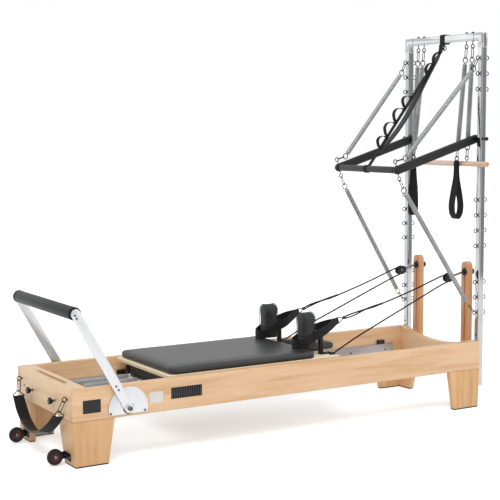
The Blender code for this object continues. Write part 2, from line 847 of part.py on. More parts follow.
def carriage_springs():
    # Close-wound springs, plain outside, that share the strip which hooks them to the carriage.
    start = GEAR_BAR_X + GEAR_PEG + GAP
    height = GEAR_BAR_Z + GEAR_BAR_SIZE / 2 + 0.012
    length = GEAR_ANCHOR_X - 0.003 - start
    hook, body = GEAR_SPRING_WIRE, GEAR_SPRING_RADIUS
    profile = [(0, hook), (0.030, hook), (0.034, body)]
    profile += [(length - 0.034, body), (length - 0.030, hook), (length, hook)]
    bm = bmesh.new()
    for y in GEAR_SPRING_Y:
        add_turned(bm, profile, (start, y, height), (1, 0, 0), 8)
    springs = finish("carriage_springs", bm, nickel_wire())
    bm = bmesh.new()
    reach = GEAR_SPRING_Y[-1] + 0.012
    low = (GEAR_ANCHOR_X - 0.006, -reach, height - 0.007)
    add_box(bm, low, (GEAR_ANCHOR_X - GAP, reach, height + 0.007))
    fuse(springs, bm)
    return springs


# Carriage


def carriage_board():
    # The plywood board, with the cleat of each rope at its tower end.
    bm = bmesh.new()
    low = (CARRIAGE_FOOT_X, -BOARD_HALF, BOARD_BOTTOM)
    add_box(bm, low, (BOARD_TOWER_X, BOARD_HALF, BOARD_TOP), 0.003, 1)
    board = finish("carriage_board", bm, birch_ply())
    bm = bmesh.new()
    for side in (-1, 1):
        low = (BOARD_TOWER_X - CLEAT_LENGTH - 0.004, side * CLEAT_Y - 0.009, BOARD_TOP - 0.001)
        add_box(bm, low, (BOARD_TOWER_X - 0.004, side * CLEAT_Y + 0.009, BOARD_TOP + CLEAT_HEIGHT))
    fuse(board, bm)
    return board


def carriage_pad():
    start = CARRIAGE_FOOT_X + PAD_FOOT_INSET
    low = (start, -PAD_HALF, BOARD_TOP + GAP)
    high = (start + PAD_LENGTH, PAD_HALF, PAD_TOP)
    return cushion("carriage_pad", low, high, PAD_CORNER, 0.005, charcoal_vinyl())


def carriage_frame():
    # Under the board: a spine, a cross bar and two brackets at each pair of wheels, and the springs' plate.
    top = BOARD_BOTTOM - GAP
    face = WHEEL_Y - WHEEL_WIDTH / 2 - 0.002
    look = black_steel()
    bm = bmesh.new()
    low = (GEAR_ANCHOR_X + 0.003, -0.030, top - RUNNER_BAR)
    add_box(bm, low, (TOWER_WHEEL_X + 0.010, 0.030, top))
    frame = finish("carriage_frame", bm, look)
    bars, brackets, bores = bmesh.new(), bmesh.new(), bmesh.new()
    low = (GEAR_ANCHOR_X, -0.190, GEAR_BAR_Z + GEAR_BAR_SIZE / 2 + 0.003)
    add_box(bars, low, (GEAR_ANCHOR_X + 0.006, 0.190, top - 0.001))
    for x in (FOOT_WHEEL_X, TOWER_WHEEL_X):
        low = (x - 0.008, -face + 0.001, top - RUNNER_BAR + 0.003)
        add_box(bars, low, (x + 0.008, face - 0.001, top - 0.001))
        for side in (-1, 1):
            low, high = sorted((side * face, side * (face - RUNNER_THICK)))
            half = RUNNER_LENGTH / 2
            outline = [(x - half, top), (x + half, top)] + arc((x, AXLE_Z), 0.012, 0, -math.pi, 5)
            add_prism(brackets, outline, "Y", low, high)
        bore = (AXLE_RADIUS + GAP) / math.cos(math.pi / 8)
        profile = [(-face - 0.01, bore), (face + 0.01, bore)]
        add_turned(bores, profile, (x, 0, AXLE_Z), (0, 1, 0), 8)
    fuse(frame, bars)
    combine(frame, finish("carriage_brackets", brackets, look), "UNION")
    cut(frame, finish("axle_bore_cutter", bores, look))
    return frame


def wheel_set(name, x):
    # Two wheels on the axle that turns in the carriage's brackets.
    half = WHEEL_WIDTH / 2
    profile = [(-half, WHEEL_RADIUS - 0.001), (-half + 0.001, WHEEL_RADIUS)]
    profile += [(half - 0.001, WHEEL_RADIUS), (half, WHEEL_RADIUS - 0.001)]
    bm = bmesh.new()
    for side in (-1, 1):
        add_turned(bm, profile, (x, side * WHEEL_Y, AXLE_Z), (0, 1, 0), 16)
    wheels = finish(name, bm, black_rubber(), (x, 0, AXLE_Z))
    bm = bmesh.new()
    add_turned(bm, [(-WHEEL_Y, AXLE_RADIUS), (WHEEL_Y, AXLE_RADIUS)], (x, 0, AXLE_Z), (0, 1, 0), 8)
    fuse(wheels, bm)
    return wheels


def headrest():
    low = (HEADREST_X, -HEADREST_HALF, BOARD_TOP + GAP)
    high = (HEADREST_X + HEADREST_LENGTH, HEADREST_HALF, BOARD_TOP + GAP + HEADREST_THICK)
    hinge = (HEADREST_X, 0, BOARD_TOP + GAP)
    return cushion("headrest", low, high, HEADREST_CORNER, 0.004, charcoal_vinyl(), hinge)


def shoulder_rest(name, side):
    # An upright padded block with round shoulders, and the post behind it that carries it.
    # The block stands on the pad's end, and its post on the board.
    half, base, floor = REST_WIDTH / 2, PAD_TOP + GAP, BOARD_TOP + GAP
    top = floor + REST_HEIGHT
    y = side * REST_Y
    levels = ((0.0, REST_EDGE), (REST_EDGE, 0.0), (REST_THICK - REST_EDGE, 0.0), (REST_THICK, REST_EDGE))
    bm = bmesh.new()
    rings = []
    for along, inset in levels:
        corner = REST_CORNER - inset / 2
        left, right, high = y - half + inset, y + half - inset, top - inset
        outline = [(right, base + inset / 2), (right, high - corner)]
        outline += arc((right - corner, high - corner), corner, 0, math.pi / 2, 5)[1:]
        outline += arc((left + corner, high - corner), corner, math.pi / 2, math.pi, 5)
        outline += [(left, base + inset / 2)]
        rings.append([bm.verts.new((REST_X + along, a, b)) for a, b in outline])
    skin(bm, rings)
    rest = finish(name, bm, charcoal_vinyl())
    back = REST_X + REST_THICK - 0.004
    high = floor + POST_HEIGHT
    outline = [
        (POST_X, floor), (POST_X + FLANGE_LENGTH, floor), (POST_X + FLANGE_LENGTH, floor + FLANGE_THICK),
        (POST_X + POST_DEPTH, floor + FLANGE_THICK), (POST_X + POST_DEPTH, high), (back, high),
        (back, high - POST_ARM), (POST_X, high - POST_ARM),
    ]
    bm = bmesh.new()
    y = side * POST_Y
    add_prism(bm, outline, "Y", y - POST_WIDTH / 2, y + POST_WIDTH / 2)
    fuse(rest, bm)
    return rest


def foot_loop(name, side):
    # The strap goes round the foot of the rest and its post, and rises to its D ring.
    y = side * REST_Y
    half = REST_WIDTH / 2 + FOOT_LOOP_THICK / 2 + 2 * GAP
    out, near = y + side * half, y - side * half
    front, back = REST_X - FOOT_LOOP_BULGE, REST_X + REST_THICK
    low, top = PAD_TOP + FOOT_LOOP_WIDTH / 2 + 4 * GAP, PAD_TOP + FOOT_LOOP_RISE
    route = [
        (FOOT_LOOP_END, y + side * 0.014, top), (back + 0.100, y + side * 0.034, top - 0.016),
        (back + 0.040, out, top - 0.039), (REST_X + 0.040, out, low + 0.030),
        (REST_X - 0.004, out, low + 0.008),
        (front, y + side * 0.022, low), (front, y - side * 0.022, low), (REST_X - 0.004, near, low + 0.008),
        (REST_X + 0.040, near, low + 0.030), (back + 0.040, near, top - 0.039),
        (back + 0.100, y - side * 0.026, top - 0.016),
        (FOOT_LOOP_END, y - side * 0.002, top),
    ]
    bm = bmesh.new()
    path = smooth_route(route, 22, closed=True)
    add_band(bm, path, lambda n: (0.0, 0.0, 1.0), FOOT_LOOP_THICK, True, FOOT_LOOP_WIDTH)
    strap = finish(name, bm, black_webbing())
    bm = bmesh.new()
    centre = (FOOT_LOOP_END + 0.020, y + side * 0.007, top + 0.008)
    add_ring(bm, centre, 0.016, 0.0022, (0.35, 0, -0.94), (1, 0, 0.3), 8)
    fuse(strap, bm)
    return strap


# Footbar


def footbar():
    lean = (-math.sin(FOOTBAR_LEAN), math.cos(FOOTBAR_LEAN))
    foot = (FOOTBAR_X, FOOTBAR_Z)
    head = (FOOTBAR_X + FOOTBAR_REACH * lean[0], FOOTBAR_Z + FOOTBAR_REACH * lean[1])
    plate_face = HALF_WIDTH + GAP + PLATE_THICK
    inner = plate_face + 0.003
    outer = inner + ARM_THICK
    hinge = (FOOTBAR_X, 0, FOOTBAR_Z)
    drop = math.asin(PLATE_DROP / PLATE_RADIUS)
    outline = arc(foot, PLATE_RADIUS, -drop, math.pi + drop, 19)
    arms, bores = bmesh.new(), bmesh.new()
    for label, side in (("near", -1), ("far", 1)):
        bm = bmesh.new()
        low, high = sorted((side * (HALF_WIDTH + GAP), side * plate_face))
        add_prism(bm, outline, "Y", low, high)
        plate = finish(f"footbar_plate_{label}", bm, aluminium())
        end = outer - plate_face + GAP
        profile = [(-0.003, 0.018), (0.003 - GAP, 0.018), (0.003 - GAP, PIVOT_RADIUS), (end, PIVOT_RADIUS)]
        profile += [(end, PIVOT_CAP), (end + PIVOT_CAP_THICK, PIVOT_CAP - 0.002)]
        bm = bmesh.new()
        add_turned(bm, profile, (FOOTBAR_X, side * plate_face, FOOTBAR_Z), (0, side, 0), 16)
        fuse(plate, bm)
        low, high = sorted((side * inner, side * outer))
        add_prism(arms, capsule(foot, head, ARM_WIDTH / 2), "Y", low, high)
        centre = (FOOTBAR_X, side * (inner - 0.01), FOOTBAR_Z)
        add_turned(bores, [(0, PIVOT_RADIUS + GAP), (0.03, PIVOT_RADIUS + GAP)], centre, (0, side, 0), 16)
    frame = finish("footbar_frame", arms, aluminium(), hinge)
    bm = bmesh.new()
    half = inner + ARM_THICK / 2
    add_turned(bm, [(-half, GRIP_CORE), (half, GRIP_CORE)], (head[0], 0, head[1]), (0, 1, 0), 14)
    fuse(frame, bm)
    cut(frame, finish("arm_bore_cutter", bores, aluminium()))
    bm = bmesh.new()
    half = inner - 0.001
    profile = [(-half, GRIP_RADIUS - 0.003), (-half + 0.004, GRIP_RADIUS), (half - 0.004, GRIP_RADIUS)]
    profile += [(half, GRIP_RADIUS - 0.003)]
    add_bored(bm, profile, GRIP_CORE + GAP, (head[0], 0, head[1]), (0, 1, 0), 20)
    grip = finish("footbar_grip", bm, charcoal_vinyl(), hinge)
    pivot("footbar_axis", hinge, frame, grip)


# Foot-end fittings


def star_knob(name, side):
    points = []
    for k in range(20):
        angle = 2 * math.pi * k / 20
        reach = STAR_RADIUS - 0.0035 * (1 - math.cos(5 * angle)) / 2
        points.append((side * STAR_Y + reach * math.cos(angle), STAR_Z + reach * math.sin(angle)))
    end = -HALF_LENGTH - GAP - STAR_STANDOFF
    bm = bmesh.new()
    add_prism(bm, points, "X", end - STAR_THICK, end)
    knob = finish(name, bm, black_plastic(), (end, side * STAR_Y, STAR_Z))
    bm = bmesh.new()
    profile = [(-0.002, STAR_STEM), (STAR_STANDOFF, STAR_STEM)]
    add_turned(bm, profile, (end, side * STAR_Y, STAR_Z), (1, 0, 0), 8)
    fuse(knob, bm)
    return knob


def foot_strap():
    # The webbing hangs from a D ring, a hook and an eye at each side.
    ring_y, ring_z = FOOT_EYE_Y - 0.023, FOOT_EYE_Z - FOOT_STRAP_HOOK
    path = []
    for k in range(FOOT_STRAP_STEPS + 1):
        share = 1 - 2 * k / FOOT_STRAP_STEPS
        fall = 1 - share * share
        x = -HALF_LENGTH - FOOT_STRAP_OUT - 0.012 * fall
        path.append(Vector((x, ring_y * share, ring_z - RING_RADIUS + 0.003 - FOOT_STRAP_SAG * fall)))
    bm = bmesh.new()
    add_band(bm, path, lambda n: (-1.0, 0.0, 0.25), FOOT_STRAP_THICK, False, FOOT_STRAP_WIDTH)
    rings = bmesh.new()
    for side in (-1, 1):
        eye = (-HALF_LENGTH - GAP - EYE_REACH, side * FOOT_EYE_Y, FOOT_EYE_Z)
        ring = (-HALF_LENGTH - FOOT_STRAP_OUT + 0.001, side * ring_y, ring_z)
        add_eye(rings, eye, (1, 0, 0), (0, 1, 0), EYE_STUB)
        add_ring(rings, ring, RING_RADIUS, RING_WIRE, (1, 0, 0), (0, 0, 1))
        hook_up(bm, ring, RING_RADIUS, RING_WIRE, eye, EYE_RING, EYE_WIRE, (1, 0, 0), FUSED, FUSED)
    strap = finish("foot_strap", bm, black_webbing())
    fuse(strap, rings)
    return strap


def transport_wheel(label, side):
    # The bracket's arm is on the far side of its wheel at both legs.
    y = side * CASTER_Y
    gap = CASTER_WIDTH / 2 + 0.001

    def leg_face(z):
        return -HALF_LENGTH + LEG_RAKE * (1 - z / FRAME_BOTTOM) - GAP

    low_z, high_z = CASTER_Z - CASTER_PLATE / 2, CASTER_Z + CASTER_PLATE / 2
    foot = [(leg_face(low_z), low_z), (leg_face(high_z), high_z)]
    bm = bmesh.new()
    outline = foot + [(leg_face(high_z) - 0.004, high_z)]
    outline += arc((CASTER_X, CASTER_Z), 0.013, math.pi / 2, 3 * math.pi / 2, 6)
    outline += [(leg_face(low_z) - 0.004, low_z)]
    add_prism(bm, outline, "Y", y + gap, y + gap + 0.004)
    bracket = finish(f"wheel_bracket_{label}", bm, black_steel())
    bm = bmesh.new()
    outline = foot + [(leg_face(high_z) - 0.0035, high_z - 0.001), (leg_face(low_z) - 0.0035, low_z + 0.001)]
    foot_y = side * (HALF_WIDTH - CASTER_FOOT_INSET)
    add_prism(bm, outline, "Y", foot_y - CASTER_FOOT_HALF, foot_y + CASTER_FOOT_HALF)
    end = 2 * gap
    profile = [(-0.003, CASTER_AXLE), (end, CASTER_AXLE), (end, 0.009), (end + 0.006, 0.007)]
    add_turned(bm, profile, (CASTER_X, y + gap, CASTER_Z), (0, -1, 0), 10)
    fuse(bracket, bm)
    bm = bmesh.new()
    half = CASTER_WIDTH / 2
    profile = [(-half, CASTER_RADIUS - 0.006), (-half + 0.003, CASTER_RADIUS - 0.001)]
    profile += [(-0.004, CASTER_RADIUS), (0.004, CASTER_RADIUS)]
    profile += [(half - 0.003, CASTER_RADIUS - 0.001), (half, CASTER_RADIUS - 0.006)]
    centre = (CASTER_X, y, CASTER_Z)
    add_bored(bm, profile, CASTER_BORE, centre, (0, 1, 0), 16)
    finish(f"transport_wheel_{label}", bm, black_rubber(), centre)


# Tower


def eye_heights():
    rows = EYE_ROWS + ((TOWER_TOP - EYE_TOP_DROP, EYE_TOP_COUNT),)
    return [start + k * EYE_PITCH for start, count in rows for k in range(count)]


def tower_post(name, side):
    # A square tube with eyes on two faces and two bolt heads, its top inside the crossbar's sleeve.
    y = side * TOWER_Y
    half, inside = TUBE_SIZE / 2, TUBE_SIZE / 2 - TUBE_WALL
    bm = bmesh.new()
    outline = [(TOWER_X + a, y + b) for a, b in rounded(half, half, TUBE_ROUND, 3)]
    add_prism(bm, outline, "Z", POST_FOOT_Z, CROSSBAR_BOTTOM)
    post = finish(name, bm, chrome())
    bm = bmesh.new()
    for z in eye_heights():
        for way in (-1, 1):
            eye = (TOWER_X + way * (half + EYE_REACH), y, z)
            add_eye(bm, eye, (-way, 0, 0), (0, 1, 0), EYE_STUB + TUBE_WALL / 2)
    for z in POST_BOLT_ROWS:
        head = (TOWER_X + half - TUBE_WALL / 2, y, z)
        add_turned(bm, [(0, NUT_SIZE), (NUT_HEIGHT, NUT_SIZE)], head, (1, 0, 0), 6)
    fuse(post, bm)
    bm = bmesh.new()
    low = (TOWER_X - inside, y - inside, POST_FOOT_Z - 0.01)
    add_box(bm, low, (TOWER_X + inside, y + inside, TOWER_TOP))
    cut(post, finish(f"{name}_hollow_cutter", bm, chrome()))
    bm = bmesh.new()
    profile = [(0, PUSH_PIN_RADIUS + GAP), (TUBE_SIZE + 0.02, PUSH_PIN_RADIUS + GAP)]
    add_turned(bm, profile, (TOWER_X, y - half - 0.01, PUSH_Z), (0, 1, 0), 12)
    cut(post, finish(f"{name}_bore_cutter", bm, chrome()))
    return post


def tower_crossbar():
    # A bar with a sleeve down over each post, the hanging springs' eyes below it and their nuts on top.
    half, outer, inner = CORNER_SIZE / 2, TOWER_Y + CORNER_SIZE / 2, TOWER_Y - CORNER_SIZE / 2
    foot = TOWER_TOP - CORNER_DROP
    outline = [
        (-outer, foot), (-outer, TOWER_TOP), (outer, TOWER_TOP), (outer, foot),
        (inner, foot), (inner, CROSSBAR_BOTTOM), (-inner, CROSSBAR_BOTTOM), (-inner, foot),
    ]
    bm = bmesh.new()
    add_prism(bm, outline, "X", TOWER_X - half, TOWER_X + half)
    bar = finish("tower_crossbar", bm, chrome())
    bm = bmesh.new()
    for y in (-HANGER_Y_OUTER, -HANGER_Y_INNER, 0.0, HANGER_Y_INNER, HANGER_Y_OUTER):
        add_eye(bm, (TOWER_X, y, HANGER_Z), (0, 0, 1), (0, 1, 0), HANGER_DROP - EYE_RING - EYE_WIRE + 0.0015)
        seat = (TOWER_X, y, TOWER_TOP - 0.0015)
        add_turned(bm, [(0, NUT_SIZE), (NUT_HEIGHT, NUT_SIZE)], seat, (0, 0, 1), 6)
    fuse(bar, bm)
    bm = bmesh.new()
    seat = TUBE_SIZE / 2 + GAP
    for side in (-1, 1):
        outline = [(TOWER_X + a, side * TOWER_Y + b) for a, b in rounded(seat, seat, TUBE_ROUND, 3)]
        add_prism(bm, outline, "Z", foot - 0.01, CROSSBAR_BOTTOM + 0.004)
    cut(bar, finish("sleeve_cutter", bm, chrome()))
    bm = bmesh.new()
    low = (TOWER_X - half + 0.003, -TOWER_Y, CROSSBAR_BOTTOM + 0.003)
    add_box(bm, low, (TOWER_X + half - 0.003, TOWER_Y, TOWER_TOP - 0.003))
    cut(bar, finish("crossbar_hollow_cutter", bm, chrome()))
    return bar


def riser(name, side):
    half = RISER_WIDTH / 2
    y = side * RISER_Y
    top = RISER_TOP_Z - RISER_ROUND
    outline = [(y + half, RISER_FOOT_Z)] + arc((y + half - RISER_ROUND, top), RISER_ROUND, 0, math.pi / 2, 5)
    outline += arc((y - half + RISER_ROUND, top), RISER_ROUND, math.pi / 2, math.pi, 5)
    outline += [(y - half, RISER_FOOT_Z)]
    bm = bmesh.new()
    add_prism(bm, outline, "X", RISER_X, RISER_X + RISER_THICK)
    piece = finish(name, bm, beech())
    bm = bmesh.new()
    low = (RISER_X - 0.01, y - RISER_SLOT / 2, RISER_SLOT_LOW)
    add_box(bm, low, (RISER_X + RISER_THICK + 0.01, y + RISER_SLOT / 2, RISER_SLOT_HIGH))
    cut(piece, finish(f"{name}_slot_cutter", bm, beech()))
    return piece


def pulley(label, side):
    # A sheave between two cheeks, a neck, and the bolt with its disc and knob in the riser's slot.
    y = side * RISER_Y
    half = SHEAVE_WIDTH / 2
    centre = Vector((SHEAVE_X, y, SHEAVE_Z))
    profile = [(-half, SHEAVE_RADIUS), (-half + 0.0015, SHEAVE_RADIUS), (-0.0015, SHEAVE_GROOVE)]
    profile += [(0.0015, SHEAVE_GROOVE), (half - 0.0015, SHEAVE_RADIUS), (half, SHEAVE_RADIUS)]
    bm = bmesh.new()
    add_bored(bm, profile, SHEAVE_BORE, centre, (0, 1, 0), 14)
    finish(f"pulley_sheave_{label}", bm, black_plastic(), centre)
    lean = math.atan2(CARRIER_Z - SHEAVE_Z, RISER_X - SHEAVE_X)
    along = Vector((math.cos(lean), 0, math.sin(lean)))
    outline = []
    for k in range(12):
        angle = 2 * math.pi * k / 12
        a, b = CHEEK_LENGTH * math.cos(angle), CHEEK_HEIGHT * math.sin(angle)
        outline.append((SHEAVE_X + a * along.x - b * along.z, SHEAVE_Z + a * along.z + b * along.x))
    bm = bmesh.new()
    reach = half + 0.001
    for way in (-1, 1):
        low, high = sorted((y + way * reach, y + way * (reach + CHEEK_THICK)))
        add_prism(bm, outline, "Y", low, high)
    place = (RISER_X - GAP, y, CARRIER_Z)
    carrier = finish(f"pulley_carrier_{label}", bm, black_steel(), place)
    bm = bmesh.new()
    pin = SHEAVE_BORE - GAP
    add_turned(bm, [(-reach - 0.001, pin), (reach + 0.001, pin)], centre, (0, 1, 0), 10)
    tail = centre + along * (SHEAVE_RADIUS + 0.0025)
    head = Vector((place[0] - CARRIER_DISC_THICK + 0.002, y, CARRIER_Z))
    length = (head - tail).length
    neck = reach + CHEEK_THICK
    profile = [(0, neck), (0.012, neck), (0.018, 0.006), (length, 0.006)]
    add_turned(bm, profile, tail, head - tail, 8)
    fuse(carrier, bm)
    through = RISER_THICK + 2 * GAP
    profile = [(-CARRIER_DISC_THICK, 0.012), (-CARRIER_DISC_THICK + 0.004, CARRIER_DISC), (0, CARRIER_DISC)]
    profile += [(0, CARRIER_BOLT), (through, CARRIER_BOLT), (through, CARRIER_KNOB - 0.004)]
    profile += [(through + 0.006, CARRIER_KNOB), (through + 0.020, CARRIER_KNOB)]
    profile += [(through + CARRIER_KNOB_THICK, CARRIER_KNOB - 0.005)]
    bm = bmesh.new()
    add_turned(bm, profile, place, (1, 0, 0), 12)
    combine(carrier, finish(f"pulley_bolt_{label}", bm, black_steel(), place), "UNION")
    return carrier


# Push-through bar


def push_front():
    return (TOWER_X - PUSH_REACH * math.cos(PUSH_DROP), PUSH_Z - PUSH_REACH * math.sin(PUSH_DROP))


def push_eye_places():
    # The bar's upper and lower eyes, square to its arms.
    x, z = push_front()
    across = (-math.sin(PUSH_DROP), math.cos(PUSH_DROP))
    upper = (x + PUSH_EYE_OFFSET * across[0], z + PUSH_EYE_OFFSET * across[1])
    lower = (x - PUSH_EYE_OFFSET * across[0], z - PUSH_EYE_OFFSET * across[1])
    return upper, lower, across


def push_bar():
    hinge = (TOWER_X, 0, PUSH_Z)
    front = push_front()
    inner, outer = PUSH_ARM_Y - PUSH_ARM_THICK / 2, PUSH_ARM_Y + PUSH_ARM_THICK / 2
    post_face = TOWER_Y - TUBE_SIZE / 2
    upper, lower, across = push_eye_places()
    stub = PUSH_EYE_OFFSET - PUSH_ARM_WIDTH / 2 - EYE_RING - EYE_WIRE + 0.003
    arms, fittings = bmesh.new(), bmesh.new()
    for side in (-1, 1):
        low, high = sorted((side * inner, side * outer))
        add_prism(arms, capsule((TOWER_X, PUSH_Z), front, PUSH_ARM_WIDTH / 2), "Y", low, high)
        step = post_face - GAP - outer
        profile = [(-0.003, 0.013), (step, 0.013)]
        profile += [(step, PUSH_PIN_RADIUS), (step + PUSH_PIN_SEAT, PUSH_PIN_RADIUS)]
        add_turned(fittings, profile, (TOWER_X, side * outer, PUSH_Z), (0, side, 0), 12)
        y = side * PUSH_ARM_Y
        add_eye(fittings, (upper[0], y, upper[1]), (-across[0], 0, -across[1]), (0, 1, 0), stub)
        add_eye(fittings, (lower[0], y, lower[1]), (across[0], 0, across[1]), (0, 1, 0), stub)
    reach = inner + 0.003
    profile = [(-reach, PUSH_TUBE_RADIUS), (reach, PUSH_TUBE_RADIUS)]
    add_turned(fittings, profile, (front[0], 0, front[1]), (0, 1, 0), 16)
    frame = finish("push_bar", arms, black_steel(), hinge)
    fuse(frame, fittings)
    return frame


def lock_knob(name, side):
    face = TOWER_Y + TUBE_SIZE / 2
    ball = LOCK_REACH
    profile = [(-LOCK_SEAT, PUSH_PIN_RADIUS), (-0.001, PUSH_PIN_RADIUS)]
    profile += [(-0.001, LOCK_STEM), (ball - LOCK_BALL, LOCK_STEM)]
    for k in range(1, 6):
        angle = math.pi * k / 6
        profile.append((ball - LOCK_BALL * math.cos(angle), max(LOCK_BALL * math.sin(angle), LOCK_STEM)))
    profile.append((ball + LOCK_BALL, 0.003))
    bm = bmesh.new()
    add_turned(bm, profile, (TOWER_X, side * face, PUSH_Z), (0, side, 0), 12)
    return finish(name, bm, black_plastic(), (TOWER_X, side * face, PUSH_Z))


def tipped(direction, angle):
    # The same direction, raised by an angle.
    level = Vector((direction.x, direction.y, 0))
    height = math.atan2(direction.z, level.length) + angle
    return level.normalized() * math.cos(height) + Vector((0, 0, math.sin(height)))


def push_spring(name, side, upper):
    # A spring with a ring and a hook at each end, from the bar's eye to the post's.
    eye_up, eye_low, _ = push_eye_places()
    bar_eye = eye_up if upper else eye_low
    bar_eye = Vector((bar_eye[0], side * PUSH_ARM_Y, bar_eye[1]))
    height = eye_heights()[-1] if upper else eye_heights()[0]
    post_eye = Vector((TOWER_X - TUBE_SIZE / 2 - EYE_REACH, side * TOWER_Y, height))
    pull = (post_eye - bar_eye).normalized()
    hook, slack = (PUSH_HOOK_UP, PUSH_SLACK_UP) if upper else (PUSH_HOOK_LOW, PUSH_SLACK_LOW)
    # The spring hangs slack between its hooks, so each hook turns down a little from the straight line.
    first = bar_eye + hook * tipped(pull, -slack[0])
    second = post_eye - hook * tipped(pull, slack[1])
    return chain(name, first, second, (bar_eye, post_eye), (0, 0, 0))


def chain(name, first, second, eyes, origin):
    # The coil and its hooks are one set of shapes, and the two rings that join them are the other.
    along = (second - first).normalized()
    start, end = first + along * RING_RADIUS, second - along * RING_RADIUS
    bm, rings = bmesh.new(), bmesh.new()
    add_coils(bm, name, [(start, end)], SPRING_RADIUS, SPRING_WIRE, SPRING_TURNS)
    for ring, eye in zip((first, second), eyes):
        add_ring(rings, ring, RING_RADIUS, RING_WIRE, (0, 1, 0), along)
        hook_up(bm, ring, RING_RADIUS, RING_WIRE, eye, EYE_RING, EYE_WIRE, (0, 1, 0), FUSED, HOOK_SEAT)
    spring = finish(name, bm, nickel_wire(), origin)
    fuse(spring, rings, origin)
    return spring


# Hanging springs, roll-down bar and hand loops


def hang_point(y, swing, drop):
    # A point that hangs a distance below its eye on the crossbar, swung towards the foot end.
    return Vector((TOWER_X - drop * math.sin(swing), y, HANGER_Z - drop * math.cos(swing)))


def roll_down():
    swing = math.atan2(TOWER_X - DOWEL_X, HANGER_Z - DOWEL_Z)
    hinge = (TOWER_X, 0, HANGER_Z)
    drop = (HANGER_Z - DOWEL_Z) / math.cos(swing) - DOWEL_RADIUS - EYE_REACH - 0.002
    pieces = []
    eyes = bmesh.new()
    for label, y in (("near", -HANGER_Y_OUTER), ("far", HANGER_Y_OUTER)):
        first, second = hang_point(y, swing, HANGER_TOP_HOOK), hang_point(y, swing, drop - ROLL_HOOK)
        ends = (hang_point(y, swing, 0), hang_point(y, swing, drop))
        pieces.append(chain(f"roll_down_spring_{label}", first, second, ends, hinge))
        along = (ends[1] - ends[0]).normalized()
        add_eye(eyes, ends[1], along, (0, 1, 0), EYE_STUB + 0.004)
    bm = bmesh.new()
    profile = [(0, DOWEL_RADIUS - 0.002), (0.002, DOWEL_RADIUS), (DOWEL_LENGTH - 0.002, DOWEL_RADIUS)]
    profile += [(DOWEL_LENGTH, DOWEL_RADIUS - 0.002)]
    add_turned(bm, profile, (DOWEL_X, DOWEL_NEAR_Y, DOWEL_Z), (0, 1, 0), 16)
    bar = finish("roll_down_bar", bm, peeled_dowel(), hinge)
    fuse(bar, eyes)
    pivot("roll_down_axis", hinge, bar, *pieces)


def loop_outline():
    # Half of a hand loop, from its folded top to its lowest point, as shares of its bulge and of its length.
    half = [
        (0.0, 0.0), (0.15, 0.02), (0.14, 0.14), (0.16, 0.30), (0.48, 0.48),
        (0.87, 0.67), (1.0, 0.79), (0.77, 0.92), (0.0, 1.0),
    ]
    length = LOOP_LENGTH - LOOP_THICK
    return [(LOOP_BULGE * out, -length * down) for out, down in half]


def hand_loop(label, side, swing, facing):
    y = side * HANGER_Y_INNER
    hinge = (TOWER_X, y, HANGER_Z)
    top_drop = (HANGER_Z - LOOP_TOP_Z) / math.cos(swing)
    ring_drop = top_drop - LOOP_THICK / 2 - EYE_RING
    ends = (hang_point(y, swing, 0), hang_point(y, swing, ring_drop))
    first, second = hang_point(y, swing, HANGER_TOP_HOOK), hang_point(y, swing, ring_drop - LOOP_HOOK)
    spring = chain(f"hand_loop_spring_{label}", first, second, ends, hinge)
    half = loop_outline()
    closed = half + [(-a, b) for a, b in half[-2:0:-1]]
    across = Vector((math.cos(facing), math.sin(facing), 0))
    top = hang_point(y, swing, top_drop)
    path = smooth_route([top + a * across + b * Vector((0, 0, 1)) for a, b in closed], 24, closed=True)
    broad = Vector((0, 0, 1)).cross(across)
    spread = LOOP_WIDTH - LOOP_TOP_WIDTH
    width = [LOOP_TOP_WIDTH + spread * min(1.0, max(0.0, (top.z - p.z) / 0.16)) for p in path]
    bm = bmesh.new()
    add_band(bm, path, lambda n: broad, LOOP_THICK, True, width)
    strap = finish(f"hand_loop_{label}", bm, black_webbing(), hinge)
    bm = bmesh.new()
    add_ring(bm, ends[1], EYE_RING, EYE_WIRE, (0, 1, 0), ends[1] - ends[0])
    fuse(strap, bm, hinge)
    pivot(f"hand_loop_{label}_axis", hinge, spring, strap)


# Safety strap


